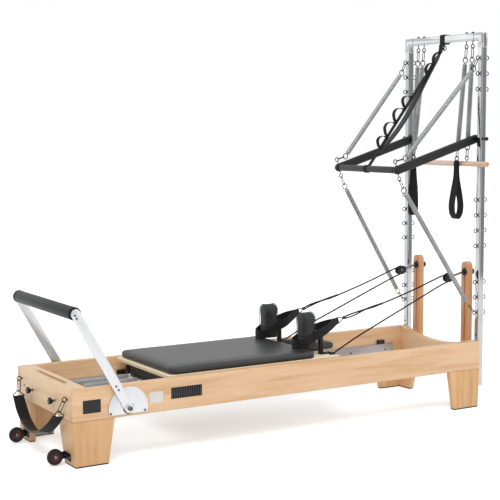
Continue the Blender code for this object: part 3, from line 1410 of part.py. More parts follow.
def safety_strap():
    # A taut webbing from the crossbar to the push bar's middle, with sewn ears and a padded band below it.
    front = Vector((push_front()[0], 0, push_front()[1]))
    top = Vector((TOWER_X - STRAP_TOP_OUT, 0, HANGER_Z - STRAP_TOP_DROP))
    pull = (front - top).normalized()
    rise = Vector((-pull.z, 0, pull.x))
    rise = rise if rise.z > 0 else -rise
    length = (front - top).length - PUSH_TUBE_RADIUS - 0.002
    line = [top, top + pull * length]
    bm = bmesh.new()
    add_band(bm, line, lambda n: (0, 1, 0), 0.0040, False, 0.026)
    strap = finish("safety_strap", bm, black_webbing())
    bm = bmesh.new()
    for start, span, height in STRAP_EARS:
        foot, end = top + pull * start, top + pull * (start + span)
        middle = (foot + end) / 2
        route = [
            foot, foot + rise * height * 0.45 + pull * span * 0.04,
            middle + rise * height - pull * span * 0.16, middle + rise * height + pull * span * 0.20,
            end + rise * height * 0.40 - pull * span * 0.02, end,
        ]
        add_band(bm, smooth_route(route, 8), lambda n: (0, 1, 0), 0.0030, False, 0.025)
    sag = []
    for k in range(10):
        share = k / 9
        at = top + pull * (0.020 + (length - 0.110) * share)
        sag.append(at - rise * STRAP_SAG * math.sin(math.pi * share) ** 0.8)
    add_band(bm, sag, lambda n: (0, 1, 0), 0.0090, False, 0.040)
    wrap = ring_points(front, PUSH_TUBE_RADIUS + 0.0022, (0, 1, 0), 12)
    add_band(bm, wrap, lambda n: (0, 1, 0), 0.0030, True, 0.026)
    eye = Vector((TOWER_X, 0, HANGER_Z))
    hook_up(bm, top, LINK_RADIUS, LINK_WIRE, eye, EYE_RING, EYE_WIRE, (0, 1, 0), LINK_RADIUS, HOOK_SEAT)
    fuse(strap, bm)
    return strap


# Ropes


def rope(name, side):
    # From the cleat up to the sheave, round it, and back through its sleeve to the foot loop's ring.
    y = side * RISER_Y
    turn = SHEAVE_GROOVE + ROPE_RADIUS + 2 * GAP
    route = [
        (BOARD_TOWER_X - 0.003 + 2 * GAP, side * CLEAT_Y, BOARD_TOP + 0.008), (0.440, side * 0.233, 0.433),
        (0.640, side * 0.226, 0.514), (0.860, side * 0.219, 0.602), (1.010, side * 0.2135, 0.6615),
    ]
    for degrees in (-66, -37, -8, 21, 50, 79, 106):
        angle = math.radians(degrees)
        route.append((SHEAVE_X + turn * math.cos(angle), y, SHEAVE_Z + turn * math.sin(angle)))
    route += [
        (1.010, side * 0.210, 0.7105), (0.880, side * 0.208, 0.667), (0.730, side * 0.205, 0.6225),
        (0.630, side * 0.203, 0.596), (0.540, side * 0.201, 0.577), (0.452, side * 0.199, 0.560),
        (0.394, side * 0.190, 0.542),
    ]
    count = 30
    path = smooth_route(route, count)
    swell = []
    for n, p in enumerate(path):
        inside = n > count / 2 and SLEEVE_END > p.x > SLEEVE_START
        swell.append(SLEEVE_RADIUS / ROPE_RADIUS if inside else 1.0)
    return tube_curve(name, [path], ROPE_RADIUS, 2, black_webbing(), swell=swell)


def build():
    for old in list(bpy.data.objects):
        bpy.data.objects.remove(old)
    rail_window(side_rail("side_rail_near", -1))
    side_rail("side_rail_far", 1)
    foot_end_board()
    tower_end_board()
    for x_label, x_sign in (("foot", -1), ("tower", 1)):
        for y_label, y_sign in (("near", -1), ("far", 1)):
            leg(f"leg_{x_label}_{y_label}", x_sign, y_sign)
    track("track_near", -1)
    track("track_far", 1)
    spring_bar()
    carriage_springs()
    carriage = [
        carriage_board(),
        carriage_pad(),
        carriage_frame(),
        wheel_set("wheel_set_foot", FOOT_WHEEL_X),
        wheel_set("wheel_set_tower", TOWER_WHEEL_X),
        headrest(),
        shoulder_rest("shoulder_rest_near", -1),
        shoulder_rest("shoulder_rest_far", 1),
        foot_loop("foot_loop_near", -1),
        foot_loop("foot_loop_far", 1),
    ]
    pivot("carriage_axis", (CARRIAGE_FOOT_X, 0, BOARD_BOTTOM), *carriage)
    footbar()
    star_knob("star_knob_near", -1)
    star_knob("star_knob_far", 1)
    foot_strap()
    transport_wheel("near", -1)
    transport_wheel("far", 1)
    tower_post("tower_post_near", -1)
    tower_post("tower_post_far", 1)
    tower_crossbar()
    riser("riser_near", -1)
    riser("riser_far", 1)
    pulley("near", -1)
    pulley("far", 1)
    push_bar()
    lock_knob("lock_knob_near", -1)
    lock_knob("lock_knob_far", 1)
    for label, side in (("near", -1), ("far", 1)):
        push_spring(f"push_spring_upper_{label}", side, True)
        push_spring(f"push_spring_lower_{label}", side, False)
    roll_down()
    hand_loop("near", -1, LOOP_SWING_NEAR, 0.0)
    hand_loop("far", 1, LOOP_SWING_FAR, math.radians(60))
    safety_strap()
    rope("rope_near", -1)
    rope("rope_far", 1)


build()
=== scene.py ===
# Pilates reformer with a tower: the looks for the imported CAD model, in metres.
import json
import math

import bmesh
import bpy
from mathutils import Matrix, Vector

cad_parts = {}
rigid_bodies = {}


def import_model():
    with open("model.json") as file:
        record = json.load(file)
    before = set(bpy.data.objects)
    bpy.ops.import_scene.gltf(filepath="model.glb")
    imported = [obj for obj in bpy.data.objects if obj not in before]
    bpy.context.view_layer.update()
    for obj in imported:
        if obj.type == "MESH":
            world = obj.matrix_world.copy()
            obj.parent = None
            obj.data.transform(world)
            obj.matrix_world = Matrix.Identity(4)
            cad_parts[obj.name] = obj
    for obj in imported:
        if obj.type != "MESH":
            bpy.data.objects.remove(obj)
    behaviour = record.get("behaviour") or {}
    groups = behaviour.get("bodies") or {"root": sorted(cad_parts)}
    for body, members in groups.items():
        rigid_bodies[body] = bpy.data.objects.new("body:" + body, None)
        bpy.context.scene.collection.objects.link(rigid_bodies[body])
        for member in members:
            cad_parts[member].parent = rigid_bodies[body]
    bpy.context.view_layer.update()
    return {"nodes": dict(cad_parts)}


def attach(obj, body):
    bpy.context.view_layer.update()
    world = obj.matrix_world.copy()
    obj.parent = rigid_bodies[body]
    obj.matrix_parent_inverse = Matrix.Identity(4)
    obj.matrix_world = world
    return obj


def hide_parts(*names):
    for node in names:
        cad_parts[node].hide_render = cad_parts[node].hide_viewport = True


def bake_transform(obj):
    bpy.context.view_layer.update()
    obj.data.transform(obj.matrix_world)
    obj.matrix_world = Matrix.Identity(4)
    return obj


for old in list(bpy.data.objects):
    bpy.data.objects.remove(old)

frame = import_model()
nodes = frame["nodes"]
xAxis, yAxis, zAxis = Vector((1, 0, 0)), Vector((0, 1, 0)), Vector((0, 0, 1))
sides = (("near", -1), ("far", 1))


# helpers


def linear(code):
    # "#rrggbb" as the eye sees it, turned to the linear values that nodes take
    parts = [int(code[k : k + 2], 16) / 255 for k in (1, 3, 5)]
    return (*[p / 12.92 if p <= 0.04045 else ((p + 0.055) / 1.055) ** 2.4 for p in parts], 1.0)


def newMaterial(name):
    made = bpy.data.materials.new(name)
    made.use_nodes = True
    return made, made.node_tree, made.node_tree.nodes["Principled BSDF"]


def setInputs(tree, node, inputs):
    # an input is a value, or a (node, output) pair to link from
    for key, value in inputs.items():
        if isinstance(value, tuple) and isinstance(value[0], bpy.types.Node):
            tree.links.new(value[0].outputs[value[1]], node.inputs[key])
        else:
            node.inputs[key].default_value = value


def addNode(tree, kind, settings=None, inputs=None):
    made = tree.nodes.new("ShaderNode" + kind)
    for key, value in (settings or {}).items():
        setattr(made, key, value)
    setInputs(tree, made, inputs or {})
    return made


def addRamp(tree, source, *stops):
    ramp = addNode(tree, "ValToRGB", None, {"Fac": source})
    elements = ramp.color_ramp.elements
    while len(elements) < len(stops):
        elements.new(0.5)
    for element, (place, colour) in zip(elements, stops):
        element.position = place
        element.color = linear(colour) if isinstance(colour, str) else (colour, colour, colour, 1.0)
    return ramp, 0


def addRange(tree, source, low, high):
    # spreads a source of 0 to 1 from low to high
    return addNode(tree, "MapRange", None, {0: source, 3: low, 4: high}), 0


def addBump(tree, source, strength, distance):
    return addNode(tree, "Bump", None, {"Strength": strength, "Distance": distance, "Height": source}), 0


def addPiece(name, bm, wears, body, stands=(), crease=35):
    # wears: the name of its look, or a list of names
    bmesh.ops.recalc_face_normals(bm, faces=bm.faces)
    mesh = bpy.data.meshes.new(name)
    bm.to_mesh(mesh)
    bm.free()
    mesh.shade_smooth()
    mesh.set_sharp_from_angle(angle=math.radians(crease))
    piece = bpy.data.objects.new(name, mesh)
    bpy.context.scene.collection.objects.link(piece)
    for look in [wears] if isinstance(wears, str) else wears:
        mesh.materials.append(looks[look])
    if body:
        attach(piece, body)
    if stands:
        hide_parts(*stands)
    return piece


def addModifier(piece, kind, **settings):
    made = piece.modifiers.new(kind.title(), kind)
    for key, value in settings.items():
        setattr(made, key, value)


def applyModifiers(piece):
    seen = piece.evaluated_get(bpy.context.evaluated_depsgraph_get())
    finished = bpy.data.meshes.new_from_object(seen)
    piece.modifiers.clear()
    old = piece.data
    piece.data = finished
    bpy.data.meshes.remove(old)


def turnTo(axis):
    # stands a shape made along +Z up along the given direction
    return zAxis.rotation_difference(Vector(axis).normalized()).to_matrix().to_4x4()


def standAt(place, axis):
    return Matrix.Translation(Vector(place)) @ turnTo(axis)


def roundEdges(bm, rims, edge, segments, clamped=False):
    bmesh.ops.bevel(
        bm, geom=rims, offset=edge, segments=segments, profile=0.5, affect="EDGES", material=-1,
        clamp_overlap=clamped,
    )


def edgesOf(verts):
    return list({e for v in verts for e in v.link_edges})


def newVerts(bm, before):
    return [v for v in bm.verts if v not in before]


def paint(verts, index):
    # gives the new faces their material; a new face already has the first one
    if not index:
        return
    for f in {f for v in verts if v.is_valid for f in v.link_faces}:
        f.material_index = index


def addBox(bm, low, high, edge=0.0, segments=2, index=0):
    before = set(bm.verts)
    low, high = Vector(low), Vector(high)
    made = bmesh.ops.create_cube(bm, size=1.0)["verts"]
    bmesh.ops.scale(bm, verts=made, vec=high - low)
    if edge:
        roundEdges(bm, edgesOf(made), edge, segments)
    made = newVerts(bm, before)
    bmesh.ops.translate(bm, verts=made, vec=(low + high) / 2)
    paint(made, index)
    return made


def addSlab(bm, outline, axis, low, high, edge=0.0, segments=2, index=0):
    # a flat outline pushed out along X, Y or Z; its two numbers are the other axes in X, Y, Z order
    before = set(bm.verts)
    spot = {"X": lambda a, b: (low, a, b), "Y": lambda a, b: (a, low, b), "Z": lambda a, b: (a, b, low)}[axis]
    along = Vector([(high - low) * (axis == name) for name in "XYZ"])
    face = bm.faces.new([bm.verts.new(spot(a, b)) for a, b in outline])
    made = bmesh.ops.extrude_face_region(bm, geom=[face])["geom"]
    bmesh.ops.translate(bm, verts=[v for v in made if isinstance(v, bmesh.types.BMVert)], vec=along)
    made = newVerts(bm, before)
    if edge:
        bmesh.ops.recalc_face_normals(bm, faces=list({f for v in made for f in v.link_faces}))
        rims = [e for e in edgesOf(made) if e.calc_face_angle(0) > math.radians(50)]
        roundEdges(bm, rims, edge, segments)
    paint(newVerts(bm, before), index)


def spinRound(bm, before, geom, steps, place, axis, index):
    # a full turn of the geometry round Z, then set at its place along its axis
    bmesh.ops.spin(bm, geom=geom, cent=(0, 0, 0), axis=zAxis, angle=2 * math.pi, steps=steps, use_merge=True)
    made = newVerts(bm, before)
    bmesh.ops.remove_doubles(bm, verts=made, dist=1e-6)
    made = [v for v in made if v.is_valid]
    bmesh.ops.transform(bm, verts=made, matrix=standAt(place, axis))
    paint(made, index)


def addTurned(bm, profile, place, axis=zAxis, steps=24, bored=False, index=0):
    # a lathe turning of (distance along the axis, radius) points, solid unless it is bored
    before = set(bm.verts)
    if not bored:
        profile = [(profile[0][0], 0.0)] + list(profile) + [(profile[-1][0], 0.0)]
    points = [bm.verts.new((radius, 0, along)) for along, radius in profile]
    rims = [bm.edges.new(pair) for pair in zip(points, points[1:])]
    if bored:
        rims.append(bm.edges.new((points[-1], points[0])))
    spinRound(bm, before, points + rims, steps, place, axis, index)


def addRing(bm, centre, normal, radius, wire, steps=24, index=0):
    # round wire bent to a closed ring
    before = set(bm.verts)
    stand = Matrix.Translation((radius, 0, 0)) @ Matrix.Rotation(math.pi / 2, 4, "X")
    made = bmesh.ops.create_circle(bm, segments=8, radius=wire, matrix=stand)["verts"]
    spinRound(bm, before, made + edgesOf(made), steps, centre, normal, index)


def addTube(bm, points, radius, sides=8, closed=False, density=5, scale=None, index=0):
    # a round bar along the points, from a bevelled curve
    before = set(bm.verts)
    curve = bpy.data.curves.new("bar", "CURVE")
    curve.dimensions = "3D"
    curve.bevel_depth = radius
    curve.bevel_resolution = max(0, sides // 4)
    curve.use_fill_caps = not closed
    curve.resolution_u = density
    spline = curve.splines.new("BEZIER")
    spline.bezier_points.add(len(points) - 1)
    for n, (knot, point) in enumerate(zip(spline.bezier_points, points)):
        knot.co = point
        knot.handle_left_type = knot.handle_right_type = "AUTO"
        knot.radius = scale[n] if scale else 1.0
    spline.use_cyclic_u = closed
    holder = bpy.data.objects.new("bar", curve)
    bpy.context.scene.collection.objects.link(holder)
    mesh = bpy.data.meshes.new_from_object(holder.evaluated_get(bpy.context.evaluated_depsgraph_get()))
    bm.from_mesh(mesh)
    bpy.data.objects.remove(holder)
    bpy.data.curves.remove(curve)
    bpy.data.meshes.remove(mesh)
    made = newVerts(bm, before)
    bmesh.ops.remove_doubles(bm, verts=made, dist=1e-6)
    paint(made, index)


def addCoil(bm, start, end, radius, wire, pitch, steps=12):
    # close-wound wire from one point to another: a small circle that the Screw modifier winds up
    wireSides = 6
    before = set(bm.verts)
    start, end = Vector(start), Vector(end)
    turns = round((end - start).length / pitch)
    section = bmesh.new()
    stand = Matrix.Translation((radius - wire, 0, 0)) @ Matrix.Rotation(math.pi / 2, 4, "X")
    bmesh.ops.create_circle(section, segments=wireSides, radius=wire, matrix=stand)
    mesh = bpy.data.meshes.new("wire")
    section.to_mesh(mesh)
    section.free()
    holder = bpy.data.objects.new("wire", mesh)
    bpy.context.scene.collection.objects.link(holder)
    addModifier(
        holder, "SCREW", screw_offset=(end - start).length / turns, iterations=turns, steps=steps,
        render_steps=steps, use_merge_vertices=False,
    )
    applyModifiers(holder)
    bm.from_mesh(holder.data)
    mesh = holder.data
    bpy.data.objects.remove(holder)
    bpy.data.meshes.remove(mesh)
    made = newVerts(bm, before)
    ends = [e for e in edgesOf(made) if e.is_boundary]
    bmesh.ops.holes_fill(bm, edges=ends, sides=wireSides)
    bmesh.ops.transform(bm, verts=made, matrix=standAt(start, end - start))


def smoothPath(points, count, closed=False):
    # a Catmull-Rom line through the points, as a rope or a strap lies
    points = [Vector(p) for p in points]
    if closed:
        points = [points[-1]] + points + points[:2]
    else:
        points = [2 * points[0] - points[1]] + points + [2 * points[-1] - points[-2]]
    spans = len(points) - 3
    made = []
    for n in range(count):
        at = spans * n / (count if closed else count - 1)
        k = min(int(at), spans - 1)
        t = at - k
        a, b, c, d = points[k : k + 4]
        made.append(
            0.5 * (2 * b + (c - a) * t + (2 * a - 5 * b + 4 * c - d) * t * t + (3 * b - a - 3 * c + d) * t**3)
        )
    return made


def addBand(bm, path, broad, width, thick, closed=False):
    # a flat strap: a thin rectangle set square to the path at each point, and bridged to the next
    loops = []
    for n, point in enumerate(path):
        ahead = path[(n + 1) % len(path)] if closed or n < len(path) - 1 else point
        behind = path[n - 1] if closed or n else point
        along = (ahead - behind).normalized()
        across = Vector(broad(n) if callable(broad) else broad)
        across = (across - across.dot(along) * along).normalized()
        wide = width[n] if isinstance(width, list) else width
        deep = thick[n] if isinstance(thick, list) else thick
        turn = Matrix((across, along.cross(across), along)).transposed().to_4x4()
        square = Matrix.Diagonal((wide, deep, 1, 1)) @ Matrix.Rotation(math.pi / 4, 4, "Z")
        place = Matrix.Translation(point) @ turn @ square
        ring = bmesh.ops.create_circle(bm, segments=4, radius=math.sqrt(0.5), matrix=place)["verts"]
        loops.append(edgesOf(ring))
    for n in range(len(loops) - (0 if closed else 1)):
        bmesh.ops.bridge_loops(bm, edges=loops[n] + loops[(n + 1) % len(loops)])
    if not closed:
        for rims in (loops[0], loops[-1]):
            bmesh.ops.contextual_create(bm, geom=rims)


def roundStrap(piece, edge, segments=2):
    addModifier(
        piece, "BEVEL", width=edge, segments=segments, limit_method="ANGLE", angle_limit=math.radians(60),
    )


def mirrored(profile, middle=0.0):
    # a turned profile and its mirror image past the middle
    return profile + [(2 * middle - a, r) for a, r in reversed(profile)]


def standFor(node, part, bm, wears, body, crease=35):
    # a piece that takes the place of a CAD node, and is named after it
    return addPiece(f"{node}_{part}", bm, wears, body, [node], crease)


def dressNode(node, wears, body, edge=0.0015, segments=2, zone=None):
    # a merged copy of the CAD solid with its sharp edges eased; zone picks a face's material by its middle
    bm = bmesh.new()
    bm.from_mesh(nodes[node].data)
    bmesh.ops.remove_doubles(bm, verts=bm.verts, dist=2e-6)
    bmesh.ops.dissolve_limit(bm, angle_limit=math.radians(0.5), verts=bm.verts, edges=bm.edges)
    for f in bm.faces:
        f.material_index = zone(f.calc_center_median()) if zone else 0
    rims = [e for e in bm.edges if e.is_manifold and e.calc_face_angle(0) > math.radians(32)]
    roundEdges(bm, rims, edge, segments, True)
    standFor(node, "dressed", bm, wears, body)


# materials


def startLook(name):
    # a new material, with the place on the object that its patterns are laid by
    made, tree, shader = newMaterial(name)
    return made, tree, shader, (addNode(tree, "TexCoord"), "Object")


def addNoise(tree, where, scale, detail, roughness=0.5):
    settings = {"Vector": where, "Scale": scale, "Detail": detail, "Roughness": roughness}
    return addNode(tree, "TexNoise", None, settings), 0


def lacqueredMaple(name, grain, light="#E3BB92", dark="#D3A678", boards=0.0, place=(0, 0, 0), pale="#E9C7A1"):
    # hard maple, planed and satin lacquered: pale, close, with a soft figure; grain is the axis it runs along
    made, tree, shader, where = startLook(name)

    def laid(across, along):
        stretch = [across] * 3
        stretch["XYZ".index(grain)] = along
        return addNode(tree, "Mapping", None, {"Vector": where, "Location": place, "Scale": stretch}), 0

    # figure about 40 mm across the grain; pores and lines about 4 mm apart, coarser than real ones to show
    figure = addNoise(tree, laid(26.0, 2.2), 1.0, 5.0, 0.55)
    lines = addNoise(tree, laid(230.0, 9.0), 1.0, 3.0, 0.6)
    colour = addRamp(tree, figure, (0.30, dark), (0.50, light), (0.74, pale))
    fine = addRamp(tree, lines, (0.36, 0.84), (0.56, 1.0))
    multiply = {"data_type": "RGBA", "blend_type": "MULTIPLY"}
    mixed = addNode(tree, "Mix", multiply, {0: 0.35, 6: colour, 7: fine})
    if boards:
        # glued staves: each a shade of its own
        part = addNode(tree, "SeparateXYZ", None, {0: where})
        both = addNode(tree, "Math", {"operation": "ADD"}, {0: (part, 0), 1: (part, 1)})
        step = addNode(tree, "Math", {"operation": "DIVIDE"}, {0: (both, 0), 1: boards})
        stave = addNode(tree, "Math", {"operation": "FLOOR"}, {0: (step, 0)})
        shade = addNode(tree, "TexWhiteNoise", {"noise_dimensions": "1D"}, {"W": (stave, 0)})
        mixed = addNode(
            tree, "Mix", multiply, {0: 1.0, 6: (mixed, 2), 7: addRange(tree, (shade, 0), 0.90, 1.03)},
        )
    gloss, bump = addRange(tree, lines, 0.36, 0.50), addBump(tree, lines, 0.08, 0.0004)
    setInputs(tree, shader, {"Base Color": (mixed, 2), "Roughness": gloss, "Normal": bump, "IOR": 1.5})
    return made


def grainedVinyl(name, colour, worn, grit=0.0026, roughness=0.5, specular=0.5):
    # PVC leathercloth: calendered skin with a pebble grain, a little sheen on its high spots
    made, tree, shader, where = startLook(name)
    pebble = addNode(tree, "TexVoronoi", None, {"Vector": where, "Scale": 1 / grit}), 0
    tint = addRamp(tree, addNoise(tree, where, 7.0, 3.0), (0.30, colour), (0.75, worn))
    gloss = addRange(tree, pebble, roughness - 0.06, roughness + 0.10)
    bump = addBump(tree, pebble, 0.35, 0.0005)
    setInputs(
        tree, shader,
        {"Base Color": tint, "Roughness": gloss, "Normal": bump, "IOR": 1.5, "Specular IOR Level": specular},
    )
    return made


def wovenNylon(name, colour, thread, spacing=0.0045):
    # nylon webbing: warp and weft ribs, matt with a faint fuzz
    made, tree, shader, where = startLook(name)
    ribs = {"Vector": where, "Scale": 0.32 / spacing, "Distortion": 0.6, "Detail": 1.0}
    warp = addNode(tree, "TexWave", {"bands_direction": "DIAGONAL"}, ribs)
    fuzz = addNoise(tree, where, 420.0, 2.0)
    height = addNode(tree, "Math", {"operation": "MULTIPLY"}, {0: (warp, 1), 1: fuzz}), 0
    tint = addRamp(tree, height, (0.15, colour), (0.60, thread))
    bump = addBump(tree, height, 0.4, 0.0006)
    cloth = {"Roughness": 0.82, "Sheen Weight": 0.08, "Specular IOR Level": 0.25}
    setInputs(tree, shader, {"Base Color": tint, "Normal": bump, **cloth})
    return made


def bareMetal(name, colour, roughness, brushed=None, darker=None, spread=0.06):
    # metal with its own finish: brushed is the axis that the fine scratches run along
    made, tree, shader, where = startLook(name)
    stretch = [420.0 if brushed else 9.0] * 3
    if brushed:
        stretch["XYZ".index(brushed)] = 8.0
    lie = addNode(tree, "Mapping", None, {"Vector": where, "Scale": stretch})
    marks = addNoise(tree, (lie, 0), 1.0, 2.0)
    tint = addRamp(tree, marks, (0.30, darker or colour), (0.65, colour))
    gloss = addRange(tree, marks, roughness - spread / 2, roughness + spread)
    setInputs(tree, shader, {"Base Color": tint, "Roughness": gloss, "Metallic": 1.0})
    return made


def mouldedBlack(name, colour, roughness, wear="#3A3A3B"):
    # moulded plastic, rubber or powder coat: a fine orange-peel skin, paler where it is rubbed
    made, tree, shader, where = startLook(name)
    peel = addNoise(tree, where, 1 / 0.0016, 2.0)  # specks 1.6 mm apart
    cloud = addNoise(tree, where, 16.0, 3.0)
    tint = addRamp(tree, cloud, (0.45, colour), (0.95, wear))
    gloss = addRange(tree, cloud, roughness - 0.06, roughness + 0.08)
    bump = addBump(tree, peel, 0.18, 0.0003)
    setInputs(
        tree, shader, {"Base Color": tint, "Roughness": gloss, "Normal": bump, "Specular IOR Level": 0.35},
    )
    return made


def birchPly(name):
    # birch plywood: pale faces, and dark glue lines 6 mm apart up its edge
    made, tree, shader, where = startLook(name)
    ply = 0.0030
    part = addNode(tree, "SeparateXYZ", None, {0: where})
    layer = addNode(tree, "Math", {"operation": "PINGPONG"}, {0: (part, 2), 1: ply})
    band = addNode(tree, "MapRange", None, {0: (layer, 0), 1: 0.0, 2: ply, 3: 0.0, 4: 1.0})
    grain = addNoise(tree, where, 90.0, 4.0)
    both = addNode(tree, "Math", {"operation": "MULTIPLY_ADD"}, {0: grain, 1: 0.5, 2: (band, 0)})
    tint = addRamp(tree, (both, 0), (0.30, "#C9A87C"), (0.70, "#EAD3AB"), (1.0, "#F3E2C4"))
    setInputs(tree, shader, {"Base Color": tint, "Roughness": 0.6})
    return made


looks = {
    "railMaple": lacqueredMaple("clear lacquered maple, rails", "X"),
    "endMaple": lacqueredMaple("clear lacquered maple, ends", "Y", "#E6C59C", "#D7AE80", place=(3, 1, 2)),
    "legMaple": lacqueredMaple(
        "clear lacquered maple, legs", "Z", "#DCAE7C", "#CB9762", boards=0.104, place=(5, 2, 1),
        pale="#E2B98B",
    ),
    "riserBeech": lacqueredMaple(
        "steamed beech, lacquered", "Z", "#D29A6C", "#B97A50", place=(1, 4, 2), pale="#DCAA80",
    ),
    "dowelBeech": lacqueredMaple(
        "bare sanded ramin dowel", "Y", "#E9C9B2", "#DDB297", place=(2, 2, 6), pale="#F0D8C6",
    ),
    "boardPly": birchPly("birch plywood"),
    "padVinyl": grainedVinyl("charcoal pad leathercloth", "#272829", "#303132", roughness=0.38),
    "restVinyl": grainedVinyl(
        "charcoal rest leathercloth", "#232425", "#2C2D2F", roughness=0.50, specular=0.35,
    ),
    "gripFoam": grainedVinyl(
        "charcoal grip skin", "#1A1B1C", "#222324", grit=0.0022, roughness=0.42, specular=0.2,
    ),
    "webbing": wovenNylon("black nylon webbing", "#0F0F10", "#1C1C1D"),
    "padWebbing": grainedVinyl("black padded strap skin", "#111112", "#1E1F20", roughness=0.42),
    "ropeBlack": wovenNylon("black braided polyester", "#0A0A0B", "#19191A", spacing=0.0035),
    "sleeveBlack": wovenNylon("black knitted sleeve", "#111112", "#222223", spacing=0.003),
    "blackSteel": mouldedBlack("black powder-coated steel", "#131415", 0.42, wear="#232425"),
    "barBlack": mouldedBlack("black powder-coated bar", "#161718", 0.48, wear="#212223"),
    "barGrey": mouldedBlack("grey rubber sleeve", "#303133", 0.45, wear="#3C3D3F"),
    "blackPlastic": mouldedBlack("black moulded nylon", "#0E0E0F", 0.4, wear="#222223"),
    "blackRubber": mouldedBlack("black rubber", "#1A1817", 0.7, wear="#2B2826"),
    "maroonHub": mouldedBlack("maroon moulded nylon", "#4E1F20", 0.4, wear="#6E3534"),
    "aluminium": bareMetal(
        "brushed satin anodised aluminium", "#DCDDDF", 0.33, brushed="Z", darker="#D2D3D5",
    ),
    "trackAluminium": bareMetal(
        "extruded anodised aluminium", "#BDBCC1", 0.36, brushed="X", darker="#A9A8AE",
    ),
    "chrome": bareMetal("chromed steel", "#C1C2C3", 0.07, darker="#B5B6B7", spread=0.02),
    "springSteel": bareMetal("nickel-plated spring wire", "#B6B7B7", 0.50, darker="#A4A5A5"),
    "zinc": bareMetal("zinc-plated steel", "#7C7D7F", 0.30, darker="#5F6062"),
    "ringSteel": bareMetal("nickel-plated ring", "#46474A", 0.30, darker="#343537"),
    "darkZinc": bareMetal("black oxide steel", "#3A3B3D", 0.36, darker="#2B2C2E"),
    "grilleGrey": mouldedBlack("grey moulded ribs", "#4A4A4C", 0.45, wear="#626264"),
    "plateWhite": mouldedBlack("off-white vinyl plate", "#D9D6D2", 0.5, wear="#E4E1DD"),
    "plateDark": mouldedBlack("black vinyl plate", "#1C1C1D", 0.5, wear="#2A2A2B"),
    "endGrain": lacqueredMaple("sanded dowel end grain", "X", "#C08A64", "#A06E4C", place=(7, 2, 6)),
    "brassZinc": bareMetal("yellow passivated zinc", "#B5AE5A", 0.34, darker="#98913F"),
}
print("materials:", len(looks))


# camera, floor and lamps

camera = bpy.data.objects.new("camera", bpy.data.cameras.new("camera"))
bpy.context.scene.collection.objects.link(camera)
camera.data.lens = 90.33
camera.data.sensor_width = 36.0
camera.data.clip_end = 60.0
viewTurn = Matrix(
    (
        (0.85657443, 0.05468663, -0.51311755), (-0.51600821, 0.08312151, -0.85254111),
        (-0.0039715, 0.99503778, 0.09941851),
    )
)
camera.matrix_world = Matrix.Translation((-3.3729, -5.5081, 1.5474)) @ viewTurn.to_4x4()
bpy.context.scene.camera = camera
bpy.context.scene.view_settings.view_transform = "Standard"

studio = {"worldStrength": 0.62, "floorHalf": 30.0, "floorGlow": 0.42}


def seenDirectly(tree):
    # what the eye, a mirror or glass sees, and not what lights the object
    ray = addNode(tree, "LightPath")
    either = {"operation": "MAXIMUM"}
    first = addNode(tree, "Math", either, {0: (ray, "Is Camera Ray"), 1: (ray, "Is Glossy Ray")})
    return addNode(tree, "Math", either, {0: (first, 0), 1: (ray, "Is Transmission Ray")}), 0


def stageMesh(name, bm, look):
    mesh = bpy.data.meshes.new(name)
    bm.to_mesh(mesh)
    bm.free()
    mesh.materials.append(look)
    made = bpy.data.objects.new(name, mesh)
    bpy.context.scene.collection.objects.link(made)
    return made


